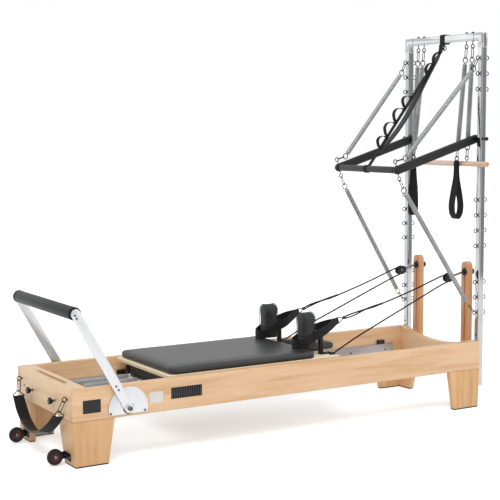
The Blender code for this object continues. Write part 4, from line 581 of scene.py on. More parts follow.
def makeStudio():
    world = bpy.data.worlds.new("pale studio")
    world.use_nodes = True
    bpy.context.scene.world = world
    tree = world.node_tree
    tree.nodes.clear()
    lit = addNode(tree, "Background", None, {"Color": linear("#FBFBFC"), "Strength": studio["worldStrength"]})
    white = addNode(tree, "Background", None, {"Color": (1, 1, 1, 1), "Strength": 1.0})
    mixed = addNode(tree, "MixShader", None, {0: seenDirectly(tree), 1: (lit, 0), 2: (white, 0)})
    addNode(tree, "OutputWorld", None, {"Surface": (mixed, 0)})

    look, tree, shader = newMaterial("matt white studio paper")
    paper = addNode(tree, "BsdfDiffuse", None, {"Color": linear("#F2F2F2")})
    glow = addNode(tree, "Emission", None, {"Color": (1, 1, 1, 1), "Strength": studio["floorGlow"]})
    both = addNode(tree, "AddShader", None, {0: (paper, 0), 1: (glow, 0)})
    mixed = addNode(tree, "MixShader", None, {0: seenDirectly(tree), 1: (paper, 0), 2: (both, 0)})
    tree.links.new(mixed.outputs[0], tree.nodes["Material Output"].inputs["Surface"])
    tree.nodes.remove(shader)
    bm = bmesh.new()
    bmesh.ops.create_grid(bm, x_segments=1, y_segments=1, size=studio["floorHalf"])
    stageMesh("floor", bm, look).location.z = -0.0005

    # cards that only the metal sees, so that it has edges and bands: (x, y, half width, low, high, tone)
    tones = {
        "dark": ("#161718", 1.0), "mid": ("#A6A7AA", 1.0), "bright": ("#FFFFFF", 1.15),
        "window": ("#FFFFFF", 1.65),
    }
    places = (
        (-2.65, 4.6, 1.1, 1.40, 2.20, "bright"), (-2.65, 4.6, 1.1, 2.20, 4.5, "window"),
        (5.06, -4.6, 0.9, -1.5, 4.5, "mid"), (-3.3, -4.3, 2.1, -1.5, 4.5, "dark"),
        (0.3, -7.4, 0.35, -1.5, 4.5, "dark"), (6.0, 2.6, 0.5, -1.5, 4.5, "dark"),
    )
    cards = {}
    for tone, (code, strength) in tones.items():
        cards[tone], tree, shader = newMaterial(f"{tone} studio card")
        glow = addNode(tree, "Emission", None, {"Color": linear(code), "Strength": strength})
        tree.links.new(glow.outputs[0], tree.nodes["Material Output"].inputs["Surface"])
        tree.nodes.remove(shader)
    for n, (x, y, half, low, high, tone) in enumerate(places):
        bm = bmesh.new()
        addBox(bm, (-half, -0.01, low), (half, 0.01, high))
        heading = Matrix.Rotation(math.atan2(y, x) + math.pi / 2, 4, "Z")
        bmesh.ops.transform(bm, verts=bm.verts, matrix=Matrix.Translation((x, y, 0)) @ heading)
        made = stageMesh(f"card_{n}", bm, cards[tone])
        made.visible_camera = made.visible_diffuse = made.visible_shadow = False

    lamps = (("key lamp", 1.25, 24, (-0.55, -0.62, 1.0)), ("side lamp", 0.55, 50, (0.9, -0.75, 0.7)))
    for name, strength, spread, place in lamps:
        lamp = bpy.data.lights.new(name, "SUN")
        lamp.energy = strength
        lamp.angle = math.radians(spread)
        holder = bpy.data.objects.new(name, lamp)
        holder.matrix_world = turnTo(place)
        bpy.context.scene.collection.objects.link(holder)


makeStudio()
print("studio made")


# ropes

ropes = {
    "radius": 0.0040, "sleeve": 0.0066, "sleeveEnds": (0.48, 0.65), "sheave": (1.086, 0.212, 0.709),
    "turn": 0.0204, "points": 30, "split": 0.880, "bendTo": 0.40, "liftTo": 1.055, "still": 0.004,
}


def ropeRoute(side):
    # from its cleat up to the sheave, round it, and back through its sleeve to the foot loop's ring
    x, y, z = ropes["sheave"]
    route = [
        (0.3076, side * 0.238, 0.3715), (0.440, side * 0.233, 0.433), (0.640, side * 0.226, 0.514),
        (0.860, side * 0.219, 0.602), (1.010, side * 0.2135, 0.6615),
    ]
    for degrees in (-66, -37, -8, 21, 50, 79, 106):
        angle = math.radians(degrees)
        route.append((x + ropes["turn"] * math.cos(angle), side * y, z + ropes["turn"] * math.sin(angle)))
    route += [
        (1.010, side * 0.210, 0.7105), (0.880, side * 0.208, 0.667), (0.730, side * 0.205, 0.6225),
        (0.630, side * 0.203, 0.596), (0.540, side * 0.201, 0.577), (0.452, side * 0.199, 0.560),
        (0.394, side * 0.190, 0.542),
    ]
    return smoothPath(route, ropes["points"])


for label, side in sides:
    path = ropeRoute(side)
    # the strand to the carriage's cleat, the turn round the sheave, and the strand to the foot loop
    turning = [n for n, p in enumerate(path) if p.x > ropes["split"]]
    parts = {
        "line": path[: turning[0] + 1], "turn": path[turning[0] : turning[-1] + 1],
        "pull": path[turning[-1] :],
    }
    strands = {}
    for name, points in parts.items():
        bm = bmesh.new()
        addTube(bm, points, ropes["radius"], sides=12, density=4)
        stands = [f"rope_{label}"] if name == "line" else ()
        strands[name] = addPiece(f"rope_{label}_{name}", bm, "ropeBlack", None, stands)
    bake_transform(strands["turn"])
    # the eye at its end: the rope comes back from the ring into its sleeve
    bm = bmesh.new()
    back = [path[-1], path[-1] + Vector((0.010, side * 0.002, -0.006))]
    back += [(0.452, side * 0.205, 0.549), (0.505, side * 0.203, 0.566), (0.535, side * 0.201, 0.5745)]
    addTube(bm, smoothPath(back, 12), ropes["radius"] * 0.9, sides=12, density=4)
    eye = addPiece(f"rope_{label}_eye", bm, "ropeBlack", None)
    bm = bmesh.new()
    low, high = ropes["sleeveEnds"]
    inside = [p for p in path[len(path) // 2 + 1 :] if low < p.x < high]
    swell = [0.8] + [1.0] * (len(inside) - 2) + [0.72]
    addTube(bm, inside, ropes["sleeve"], sides=12, density=4, scale=swell)
    sleeve = addPiece(f"rope_{label}_sleeve", bm, "sleeveBlack", None)
    for piece in (strands["line"], strands["pull"], sleeve, eye):
        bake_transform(piece)
print("ropes made")


# wooden frame

woodwork = {"edge": 0.0022, "padTop": 0.0062, "trackTop": 0.2713, "cleatFrom": 0.3637}

for label, side in sides:
    dressNode(f"side_rail_{label}", "railMaple", "frame", woodwork["edge"])
    dressNode(
        f"track_{label}", ["trackAluminium", "blackPlastic"], "frame", 0.0006, 1,
        lambda p: int(p.z > woodwork["trackTop"] + 0.001),
    )
    for end in ("foot", "tower"):
        dressNode(
            f"leg_{end}_{label}", ["legMaple", "blackRubber"], "frame", woodwork["edge"], 2,
            lambda p: int(p.z < woodwork["padTop"]),
        )
for node in ("foot_end_board", "tower_end_board"):
    dressNode(node, "endMaple", "frame", woodwork["edge"])
for label, side in sides:
    dressNode(f"riser_{label}", "riserBeech", "frame", 0.002)

# window: a black moulding with upright ribs, set in the near rail
window = {
    "x": -0.618, "z": 0.291, "length": 0.1654, "height": 0.0534, "face": -0.3393, "ribs": 13, "rib": 0.0034,
    "rim": 0.0035,
}
bm = bmesh.new()
halfX, halfZ, rim = window["length"] / 2, window["height"] / 2, window["rim"]


def addWindowPart(left, foot, right, top, front, back, edge, index=0):
    # a box of the window, measured from its middle and from the rail's face
    x, y, z = window["x"], window["face"], window["z"]
    addBox(bm, (x + left, y + front, z + foot), (x + right, y + back, z + top), edge, index=index)


addWindowPart(-halfX, -halfZ, halfX, halfZ, 0.0002, 0.0058, 0.0012)
for low in (-halfZ, halfZ - rim):
    addWindowPart(-halfX, low, halfX, low + rim, -0.0045, 0.001, 0.0009)
for left in (-halfX, halfX - rim):
    addWindowPart(left, -halfZ, left + rim, halfZ, -0.0045, 0.001, 0.0009)
for k in range(window["ribs"]):
    left = window["length"] * (k + 0.5) / window["ribs"] - halfX - window["rib"] / 2
    addWindowPart(left, rim - halfZ, left + window["rib"], halfZ - rim, -0.0042, 0.001, 0.0008, 1)
addPiece("window_grille", bm, ["blackPlastic", "grilleGrey"], "frame", ["name_plate"])

# bare plates where the labels are, and the tracks' screws
plates = {
    "face": -0.3450, "thick": 0.0009, "edge": 0.0004,
    "places": (
        ("plate_pale", "plateWhite", -0.814, -0.744, 0.257, 0.309),
        ("plate_dark", "plateDark", -1.150, -1.062, 0.247, 0.308),
    ),
}
for name, look, left, right, low, high in plates["places"]:
    bm = bmesh.new()
    addBox(
        bm, (left, plates["face"] - plates["thick"], low), (right, plates["face"], high), plates["edge"], 1,
    )
    addPiece(name, bm, look, "frame")
trackScrews = {
    "start": -0.920, "step": 0.244, "count": 9, "z": 0.2385, "face": 0.2847,
    "profile": [(0.0, 0.0050), (0.0018, 0.0046), (0.0030, 0.0030), (0.0026, 0.0016)],
}
bm = bmesh.new()
for label, side in sides:
    for k in range(trackScrews["count"]):
        place = (trackScrews["start"] + k * trackScrews["step"], side * trackScrews["face"], trackScrews["z"])
        addTurned(bm, trackScrews["profile"], place, (0, -side, 0), 16)
addPiece("track_screws", bm, "darkZinc", "frame")
print("frame made")


# carriage

pads = {
    "carriage_pad": {
        "low": (-0.676, -0.296, 0.3638), "high": (0.170, 0.296, 0.4038), "corner": 0.040, "voxel": 0.0065,
        "cap": 0.0045, "shrink": 0.003, "edge": 0.011, "fill": 0.8,
    },
    "headrest": {
        "low": (0.193, -0.120, 0.3638), "high": (0.411, 0.120, 0.4018), "corner": 0.045, "voxel": 0.005,
        "cap": 0.006, "shrink": 0.004, "edge": 0.012, "fill": 0.7,
    },
}
rests = {
    "x": 0.131, "y": 0.181, "thick": 0.072, "width": 0.090, "floor": 0.3638, "base": 0.4041, "top": 0.5898,
    "corner": 0.040, "edge": 0.007, "voxel": 0.0045, "cap": 0.0045, "shrink": 0.0025, "seam": 0.30,
    "seamReach": 0.0045, "groove": 0.0016, "fill": 0.8, "piping": 0.0016,
}


def roundedOutline(halfA, halfB, corner, steps=8, middle=(0, 0)):
    points = []
    for n, (a, b) in enumerate(((1, 1), (-1, 1), (-1, -1), (1, -1))):
        for k in range(steps + 1):
            angle = math.pi / 2 * (n + k / steps)
            across = a * (halfA - corner) + corner * math.cos(angle)
            points.append((middle[0] + across, middle[1] + b * (halfB - corner) + corner * math.sin(angle)))
    return points


def swellPiece(piece, voxel, cap, seats):
    # foam under a stretched cover: the shape is filled with air, and no point moves further than the cap;
    # seats(place) is true where it rests on something and stays flat
    addModifier(piece, "REMESH", mode="VOXEL", voxel_size=voxel)
    applyModifiers(piece)
    before = [v.co.copy() for v in piece.data.vertices]
    group = piece.vertex_groups.new(name="held")
    group.add([v.index for v in piece.data.vertices if seats(v.co)], 1.0, "REPLACE")
    cloth = piece.modifiers.new("Cloth", "CLOTH")
    cloth.settings.quality = 4
    cloth.settings.mass = 0.3
    cloth.settings.use_pressure = True
    cloth.settings.uniform_pressure_force = 4.0
    cloth.settings.vertex_group_mass = "held"
    cloth.settings.effector_weights.gravity = 0.0
    cloth.collision_settings.use_self_collision = False
    cloth.collision_settings.use_collision = False
    for number in range(1, 21):
        bpy.context.scene.frame_set(number)
    applyModifiers(piece)
    bpy.context.scene.frame_set(1)
    for v, old in zip(piece.data.vertices, before):
        move = v.co - old
        if move.length > 1e-6:
            v.co = old + move.normalized() * cap * math.tanh(move.length / cap)


def finishPad(piece, rest, rounds=6):
    # evens out the voxels' steps, then one subdivision; nothing goes below what it rests on
    bm = bmesh.new()
    bm.from_mesh(piece.data)
    for _ in range(rounds):
        bmesh.ops.smooth_vert(
            bm, verts=bm.verts, factor=0.5, use_axis_x=True, use_axis_y=True, use_axis_z=True,
        )
    bm.to_mesh(piece.data)
    bm.free()
    piece.data.shade_smooth()
    addModifier(piece, "SUBSURF", levels=1, render_levels=1)
    applyModifiers(piece)
    piece.data.shade_smooth()
    for v in piece.data.vertices:
        v.co.z = max(v.co.z, rest)


def makePad(name, body, facts):
    low, high = Vector(facts["low"]), Vector(facts["high"])
    inset = facts["shrink"]
    middle, half = (low + high) / 2, (high - low) / 2 - Vector((inset, inset, inset / 2))
    bm = bmesh.new()
    outline = roundedOutline(half.x, half.y, facts["corner"] - inset, middle=(middle.x, middle.y))
    addSlab(bm, outline, "Z", low.z, high.z - inset, facts["edge"], 4)
    piece = standFor(name, "cover", bm, "padVinyl", body)
    swellPiece(piece, facts["voxel"], facts["cap"], lambda p: p.z < low.z + 0.004)
    finishPad(piece, low.z)


makePad("carriage_pad", "carriage", pads["carriage_pad"])
makePad("headrest", "headrest", pads["headrest"])


def restOutline(half, corner, base, top, middle, steps=10):
    points = [(middle + half, base)]
    for way in (1, -1):
        for k in range(steps + 1):
            angle = math.pi / 2 * (k / steps + (way < 0))
            across = middle + way * (half - corner) + corner * math.cos(angle)
            points.append((across, top - corner + corner * math.sin(angle)))
    return points + [(middle - half, base)]


for label, side in sides:
    y, base, top = side * rests["y"], rests["base"], rests["top"]
    inset = rests["shrink"]
    bm = bmesh.new()
    outline = restOutline(rests["width"] / 2 - inset, rests["corner"] - inset, base + 0.002, top - inset, y)
    addSlab(bm, outline, "X", rests["x"] + inset, rests["x"] + rests["thick"] - inset, rests["edge"], 4)
    rest = standFor(f"shoulder_rest_{label}", "cover", bm, "restVinyl", "carriage")
    swellPiece(rest, rests["voxel"], rests["cap"], lambda p: p.z < base + 0.006)
    finishPad(rest, base, 2)
    for v in rest.data.vertices:
        # sewn seam round the block: the cover is drawn in where its two pieces join
        off = (v.co.z - base - rests["seam"] * (top - base)) / rests["seamReach"]
        out = Vector((v.co.x - rests["x"] - rests["thick"] / 2, v.co.y - y, 0))
        v.co -= out.normalized() * rests["groove"] * math.exp(-off * off)

    # piping round the two faces
    bm = bmesh.new()
    half, corner = rests["width"] / 2 - 0.0036, rests["corner"] - 0.0036
    line = restOutline(half, corner, base + 0.003, top - 0.0036, y, 8)
    for x in (rests["x"] + 0.0042, rests["x"] + rests["thick"] - 0.0042):
        addTube(bm, [(x, a, b) for a, b in line], rests["piping"], density=2)
    addPiece(f"shoulder_rest_{label}_piping", bm, "restVinyl", "carriage")

posts = {
    "x": 0.236, "y": 0.200, "depth": 0.020, "width": 0.022, "height": 0.126, "arm": 0.030, "flange": 0.074,
    "flangeHalf": 0.017, "plate": 0.005, "bolts": (0.034, 0.060),
}
for label, side in sides:
    y, base = side * posts["y"], rests["floor"]
    back, high = rests["x"] + rests["thick"] - 0.006, base + posts["height"]
    bm = bmesh.new()
    outline = [
        (posts["x"], base), (posts["x"] + posts["depth"], base), (posts["x"] + posts["depth"], high),
        (back, high), (back, high - posts["arm"]), (posts["x"], high - posts["arm"]),
    ]
    addSlab(bm, outline, "Y", y - posts["width"] / 2, y + posts["width"] / 2, 0.003)
    half = posts["flange"] / 2
    plate = roundedOutline(half, posts["flangeHalf"], 0.006, 5, (posts["x"] + half, y))
    addSlab(bm, plate, "Z", base, base + posts["plate"], 0.001)
    boltHead = [(0, 0.0062), (0.003, 0.0062), (0.0042, 0.0048), (0.0034, 0.0028)]
    for x in posts["bolts"]:
        addTurned(bm, boltHead, (posts["x"] + x, y, base + posts["plate"]), steps=20, index=1)
    plug = [(0, 0.0085), (0.004, 0.0085), (0.0055, 0.006)]
    addTurned(bm, plug, (posts["x"] + posts["depth"] / 2, y, high), steps=20, index=2)
    addPiece(f"rest_post_{label}", bm, ["blackSteel", "darkZinc", "blackPlastic"], "carriage")
print("pads made")


def corneredRim(ring, across, up, corners, shares):
    # a triangular ring: points along each side, short of its corners, so that the corners come out round
    rim = []
    for (a, b), (nextA, nextB) in zip(corners, corners[1:] + corners[:1]):
        rim += [ring + across * (a + (nextA - a) * k) + up * (b + (nextB - b) * k) for k in shares]
    return rim


# foot loops: a strap round the foot of each rest and its post, with a triangular ring and the rope's knot
loops = {
    "end": 0.352, "bulge": 0.033, "rise": 0.120, "width": 0.045, "thick": 0.004, "padTop": 0.4038,
    "tab": (0.0345, 0.0085), "rim": 0.0025,
    "corners": [(-0.010, -0.0185), (-0.010, 0.0185), (0.030, 0.002), (0.030, -0.002)], "knot": 0.026,
    "knotShape": [
        (0.0, 0.0040), (0.002, 0.0066), (0.007, 0.0082), (0.012, 0.0080), (0.017, 0.0062), (0.019, 0.0040),
    ],
}
for label, side in sides:
    y = side * rests["y"]
    half = rests["width"] / 2 + loops["thick"] / 2 + 0.0006
    out, near = y + side * half, y - side * half
    front, back = rests["x"] - loops["bulge"], rests["x"] + rests["thick"]
    low, top = loops["padTop"] + loops["width"] / 2 + 0.0012, loops["padTop"] + loops["rise"]
    route = [
        (loops["end"], y + side * 0.010, top), (back + 0.100, y + side * 0.030, top - 0.016),
        (back + 0.040, out, top - 0.039), (rests["x"] + 0.040, out, low + 0.030),
        (rests["x"] - 0.004, out, low + 0.008), (front, y + side * 0.022, low),
        (front, y - side * 0.022, low), (rests["x"] - 0.004, near, low + 0.008),
        (rests["x"] + 0.040, near, low + 0.030), (back + 0.040, near, top - 0.039),
        (back + 0.100, y - side * 0.022, top - 0.016), (loops["end"], y + side * 0.002, top),
    ]
    path = smoothPath(route, 60, closed=True)
    # it narrows by 10 mm towards its ring
    width = [loops["width"] - 0.010 * min(1, max(0, p.x - 0.30) / 0.05) for p in path]
    bm = bmesh.new()
    addBand(bm, path, zAxis, width, loops["thick"], closed=True)
    ring = Vector((loops["end"] + 0.014, y + side * 0.007, top + 0.005))
    # sewn tab, from the strap's end to the ring
    seam = y + side * 0.006
    tab = smoothPath(
        [(loops["end"] - 0.030, seam, top - 0.008), (loops["end"] - 0.010, seam, top - 0.002), ring], 8,
    )
    addBand(bm, tab, zAxis, *loops["tab"])
    strap = standFor(f"foot_loop_{label}", "strap", bm, "webbing", "carriage")
    roundStrap(strap, 0.0011)
    bm = bmesh.new()
    along = Vector((0.93, side * 0.12, 0.33)).normalized()
    rim = corneredRim(ring, along, Vector((-0.33, 0, 0.94)), loops["corners"], (0.15, 0.5, 0.85))
    addTube(bm, rim, loops["rim"], closed=True, density=3)
    addPiece(f"foot_loop_{label}_ring", bm, "blackSteel", "carriage")
    # the knot where the rope's eye holds the ring
    bm = bmesh.new()
    knot = ring + along * loops["knot"]
    addTurned(bm, loops["knotShape"], knot, along, 16)
    addRing(bm, knot + along * 0.010, along, 0.0080, 0.0016, 20)
    addPiece(f"rope_{label}_clip", bm, "blackPlastic", "carriage")
print("foot loops made")

# board, running gear and springs under it
dressNode(
    "carriage_board", ["boardPly", "blackPlastic"], "carriage", 0.0015, 2,
    lambda p: int(p.z > woodwork["cleatFrom"] and p.x > 0.27),
)
gear = {
    "carriage_frame": "blackSteel", "wheel_set_foot": "blackRubber", "wheel_set_tower": "blackRubber",
    "spring_bar": "blackSteel",
}
for node, look in gear.items():
    nodes[node].data.materials.clear()
    nodes[node].data.materials.append(looks[look])

gearSprings = {
    "start": -1.0147, "end": -0.658, "z": 0.286, "radius": 0.014, "wire": 0.0013, "pitch": 0.0029,
    "hook": 0.0017, "y": (-0.15, -0.05, 0.05, 0.15),
}
bm = bmesh.new()
for y in gearSprings["y"]:
    start, end = [Vector((gearSprings[key], y, gearSprings["z"])) for key in ("start", "end")]
    away = 0.032 * xAxis
    radius, wire, pitch = gearSprings["radius"] - 0.001, gearSprings["wire"], gearSprings["pitch"]
    addCoil(bm, start + away, end - away, radius, wire, pitch, steps=10)
    for place, way in ((start, 1), (end, -1)):
        hook = ((0.034, 0.010, 0), (0.026, 0.002, 0), (0.012, 0, 0), (0.002, 0, 0.001))
        addTube(bm, [place + Vector((way * a, b, c)) for a, b, c in hook], gearSprings["hook"])
# the strip that they are hooked to under the carriage
low, high = gearSprings["z"] - 0.007, gearSprings["z"] + 0.007
addBox(bm, (-0.661, -0.162, low), (-0.6553, 0.162, high), 0.001, index=1)
wears = ["springSteel", "blackSteel"]
piece = addPiece("carriage_spring_coils", bm, wears, None, ["carriage_springs"])
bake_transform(piece)
print("carriage made")


# footbar and the foot end's fittings

footbar = {
    "x": -0.925, "z": 0.251, "reach": 0.525, "lean": math.radians(29.4), "armWidth": 0.046, "armThick": 0.008,
    "plateFace": 0.3513, "plate": 0.1, "drop": 0.0275, "armGap": 0.003, "core": 0.016, "grip": 0.030,
    "screws": ((-0.991, 0.360), (-0.979, 0.342), (-1.188, 0.703), (-1.180, 0.688)),
    "plateScrews": ((-1.015, 0.232), (-0.841, 0.232)), "plateBack": 0.3453, "spareHole": (-0.928, 0.296),
}


def arcPoints(middle, radius, start, end, count):
    turns = [start + (end - start) * k / (count - 1) for k in range(count)]
    return [(middle[0] + radius * math.cos(a), middle[1] + radius * math.sin(a)) for a in turns]


def capsule(start, end, radius, count=12):
    heading = math.atan2(end[1] - start[1], end[0] - start[0])
    first = arcPoints(start, radius, heading + math.pi / 2, heading + 1.5 * math.pi, count)
    return first + arcPoints(end, radius, heading - math.pi / 2, heading + math.pi / 2, count)


def addScrew(bm, place, axis, radius, proud, index=0):
    # a button-head screw with a socket sunk in it
    profile = [(-0.001, radius), (proud * 0.35, radius), (proud * 0.8, radius * 0.85), (proud, radius * 0.55)]
    addTurned(bm, profile + [(proud * 0.45, radius * 0.42)], place, axis, 18, index=index)


lean = Vector((-math.sin(footbar["lean"]), 0, math.cos(footbar["lean"])))
foot = Vector((footbar["x"], 0, footbar["z"]))
head = foot + lean * footbar["reach"]
inner = footbar["plateFace"] + footbar["armGap"]
outer = inner + footbar["armThick"]
bm = bmesh.new()
for label, side in sides:
    low, high = sorted((side * inner, side * outer))
    addSlab(bm, capsule((foot.x, foot.z), (head.x, head.z), footbar["armWidth"] / 2), "Y", low, high, 0.0012)
    # the pivot's two bolts and the grip's two screws
    for x, z in footbar["screws"]:
        addScrew(bm, (x, side * outer, z), (0, side, 0), 0.0058, 0.0028, 1)
addTurned(bm, [(-inner, footbar["core"]), (inner, footbar["core"])], (head.x, 0, head.z), yAxis, 24)
addPiece("footbar_arms", bm, ["aluminium", "zinc"], "footbar", ["footbar_frame"])
bm = bmesh.new()
half, radius = inner - 0.001, footbar["grip"]
profile = mirrored([(-half, radius - 0.004), (-half + 0.002, radius - 0.0008), (-half + 0.006, radius)])
addTurned(bm, profile, (head.x, 0, head.z), yAxis, 40)
cuff = mirrored([(-0.008, radius + 0.0002), (-0.007, radius + 0.0008)])
for way in (-1, 1):
    addTurned(bm, cuff, (head.x, way * (half - 0.012), head.z), yAxis, 40, index=1)
grip = standFor("footbar_grip", "cover", bm, ["gripFoam", "blackRubber"], "footbar")

for label, side in sides:
    bm = bmesh.new()
    drop = math.asin(footbar["drop"] / footbar["plate"])
    outline = arcPoints((foot.x, foot.z), footbar["plate"], -drop, math.pi + drop, 49)
    face = side * footbar["plateFace"]
    addSlab(bm, outline, "Y", *sorted((side * footbar["plateBack"], face)), 0.0012)
    out = (0, side, 0)
    for x, z in footbar["plateScrews"]:
        addScrew(bm, (x, face, z), out, 0.0062, 0.0028, 1)
    # the hole for the footbar's other setting, as a dark dimple: a shallow dark disc, painted shade standing
    # in for the hole's depth
    x, z = footbar["spareHole"]
    addTurned(bm, [(-0.001, 0.0042), (0.0012, 0.0042), (0.0018, 0.003)], (x, face, z), out, 16, index=3)
    # the hub: a washer, a disc and the pivot's bolt head; the washer is a black spacer, and its wide black
    # rim round the arm's end is also painted shade for the gap between arm and plate
    pivot, end = (foot.x, face, foot.z), outer - footbar["plateFace"] + 0.0003
    washer = [(-0.002, 0.0275), (0.0027, 0.0275), (0.0027, 0.0100), (end, 0.0100)]
    addTurned(bm, washer, pivot, out, 40, index=2)
    disc = ((0, 0.019), (0.0022, 0.0200), (0.0040, 0.0195), (0.0042, 0.0130))
    boltHead = ((0.003, 0.0118), (0.0110, 0.0114), (0.0136, 0.0090), (0.0140, 0.0055), (0.0095, 0.0045))
    for shape, steps, index in ((disc, 36, 0), (boltHead, 28, 1)):
        addTurned(bm, [(end + a, r) for a, r in shape], pivot, out, steps, index=index)
    wears = ["aluminium", "zinc", "blackPlastic", "darkZinc"]
    standFor(f"footbar_plate_{label}", "disc", bm, wears, "frame")

# star knobs on their studs
stars = {
    "y": 0.138, "z": 0.278, "radius": 0.017, "dip": 0.0036, "thick": 0.014, "face": -1.2183, "stem": 0.005,
}
for label, side in sides:
    y = side * stars["y"]
    outline = []
    for k in range(70):
        angle = 2 * math.pi * k / 70
        reach = stars["radius"] - stars["dip"] * (1 - math.cos(5 * angle)) / 2
        outline.append((y + reach * math.cos(angle), stars["z"] + reach * math.sin(angle)))
    bm = bmesh.new()
    addSlab(bm, outline, "X", stars["face"] - stars["thick"], stars["face"], 0.0028, 3)
    collar = [(0, 0.0095), (0.005, 0.0095), (0.0062, 0.0082)]
    addTurned(bm, collar, (stars["face"] - 0.001, y, stars["z"]), xAxis, 28)
    stud = [(0.004, stars["stem"]), (0.0178, stars["stem"])]
    addTurned(bm, stud, (stars["face"], y, stars["z"]), xAxis, 20, index=1)
    body = f"star_knob_{label}"
    standFor(body, "head", bm, ["blackPlastic", "zinc"], body)

eyes = {
    "ring": 0.0105, "wire": 0.0026, "link": 0.0078, "linkWire": 0.0021, "ringBig": 0.0152, "ringWire": 0.0025,
    "eyeRoom": 0.0009,
}


def addEye(bm, centre, towards, normal, stub, index=0):
    # an eyebolt: a ring on a shank, with a small flange where it goes into what carries it
    centre, towards = Vector(centre), Vector(towards).normalized()
    addRing(bm, centre, normal, eyes["ring"], eyes["wire"], 20, index)
    start = eyes["ring"] + eyes["wire"] * 0.2
    end = eyes["ring"] + eyes["wire"] + stub
    addTurned(bm, [(start, eyes["wire"]), (end, eyes["wire"])], centre, towards, 10, index=index)
    flange = [(end - 0.0022, 0.0050), (end - 0.0006, 0.0056), (end, 0.0056)]
    addTurned(bm, flange, centre, towards, 14, index=index)


def addLink(bm, start, end, normal, index=0):
    # a long link: its rounded ends are centred on start and end
    start, end, normal = Vector(start), Vector(end), Vector(normal).normalized()
    along = (end - start).normalized()
    across = along.cross(normal).normalized()
    rim = []
    for centre, way in ((end, 1), (start, -1)):
        for k in range(7):
            angle = math.pi * k / 6
            rim.append(centre + way * eyes["link"] * (-math.cos(angle) * across + math.sin(angle) * along))
    addTube(bm, rim, eyes["linkWire"], closed=True, density=2, index=index)


def hookUp(bm, ring, ringRadius, ringWire, eye, normal, index=0, ringRoom=0.0002):
    # a link caught in a ring and in an eye, on edge to their plane, as part.py places it
    ring, eye = Vector(ring), Vector(eye)
    along = (eye - ring).normalized()
    wire = eyes["linkWire"]
    start = ring + along * (ringRadius - ringWire - wire - ringRoom + eyes["link"])
    end = eye - along * (eyes["ring"] - eyes["wire"] - wire + eyes["eyeRoom"] + eyes["link"])
    addLink(bm, start, end, Vector(normal).cross(along), index)


# foot strap: padded webbing between two rings that hang from eyebolts
footStrap = {
    "ringX": -1.236, "ringY": 0.262, "ringZ": 0.243, "out": 0.037, "sag": 0.123, "width": 0.058,
    "endWidth": 0.052, "thick": 0.0042, "eye": (-1.2148, 0.285, 0.310), "farOut": 0.008,
    "corners": [(0, 0.015), (0.030, -0.014), (-0.030, -0.014)],
}
endBoard = -1.2  # the face of the foot-end board


def strapPoint(share):
    # from the near ring, -1, to the far ring, 1
    fall = 1 - share * share
    x = endBoard - footStrap["out"] - 0.012 * fall + footStrap["farOut"] * max(0.0, share)
    return Vector((x, footStrap["ringY"] * share, footStrap["ringZ"] - 0.012 - footStrap["sag"] * fall))


def strapWidth(share):
    # the webbing's width runs along X, and turns towards the near side at its far end
    return Vector((-1.0, 0.55 * max(0.0, share), 0.25))


path = [strapPoint(1 - 2 * k / 48) for k in range(49)]
bm = bmesh.new()
spread = footStrap["width"] - footStrap["endWidth"]
width = [footStrap["endWidth"] + spread * min(1.0, min(n, 48 - n) / 6) for n in range(49)]
addBand(bm, path, lambda n: strapWidth(1 - n / 24), width, footStrap["thick"])
piece = standFor("foot_strap", "webbing", bm, "webbing", "frame")
roundStrap(piece, 0.0012)
bm = bmesh.new()
padded = [strapPoint(0.50 - 1.0 * k / 24) + Vector((-0.0005, 0, 0)) for k in range(25)]
puff = [0.007 + 0.004 * math.sin(math.pi * min(1, (min(n, 24 - n) + 0.6) / 4) / 2) for n in range(25)]
width = [0.056 + 0.004 * min(1, min(n, 24 - n) / 2) for n in range(25)]
addBand(bm, padded, lambda n: strapWidth(0.5 - n / 24), width, puff)
pad = addPiece("foot_strap_sleeve", bm, "padWebbing", "frame")
roundStrap(pad, 0.0032, 3)
bm = bmesh.new()
for label, side in sides:
    x, y, z = footStrap["eye"]
    eye = Vector((x, side * y, z))
    ringX = footStrap["ringX"] + footStrap["farOut"] * max(0, side)
    ring = Vector((ringX, side * footStrap["ringY"], footStrap["ringZ"]))
    broad = -strapWidth(side)
    broad = Vector((broad.x, broad.y, 0)).normalized()
    addEye(bm, eye, xAxis, yAxis, 0.0015)
    # triangular ring that the webbing is sewn round
    rim = corneredRim(ring, broad, zAxis, footStrap["corners"], (0.10, 0.5, 0.90))
    addTube(bm, rim, eyes["ringWire"], closed=True, density=3)
    hookUp(bm, ring, 0.013, eyes["ringWire"], eye, xAxis)
addPiece("foot_strap_rings", bm, "ringSteel", "frame")

# the hole beside the far eyebolt, drawn as a thin dark disc on the board's face: painted shade standing in
# for the hole's depth
bm = bmesh.new()
hole = [(-0.0002, 0.0052), (0.0006, 0.0050), (0.0002, 0.0036)]
addTurned(bm, hole, (endBoard, 0.251, 0.283), (-1, 0, 0), 20)
addPiece("end_board_hole", bm, "darkZinc", "frame")

# transport wheels
casters = {
    "x": -1.249, "y": 0.245, "z": 0.041, "radius": 0.0375, "width": 0.022, "bore": 0.0055, "plate": 0.036,
    "rake": 0.010, "rakeTop": 0.211, "plateY": 0.261,
}


def legFace(z):
    # the leg's outer face, which rakes in towards its foot
    return endBoard + casters["rake"] * (1 - z / casters["rakeTop"]) - 0.0003


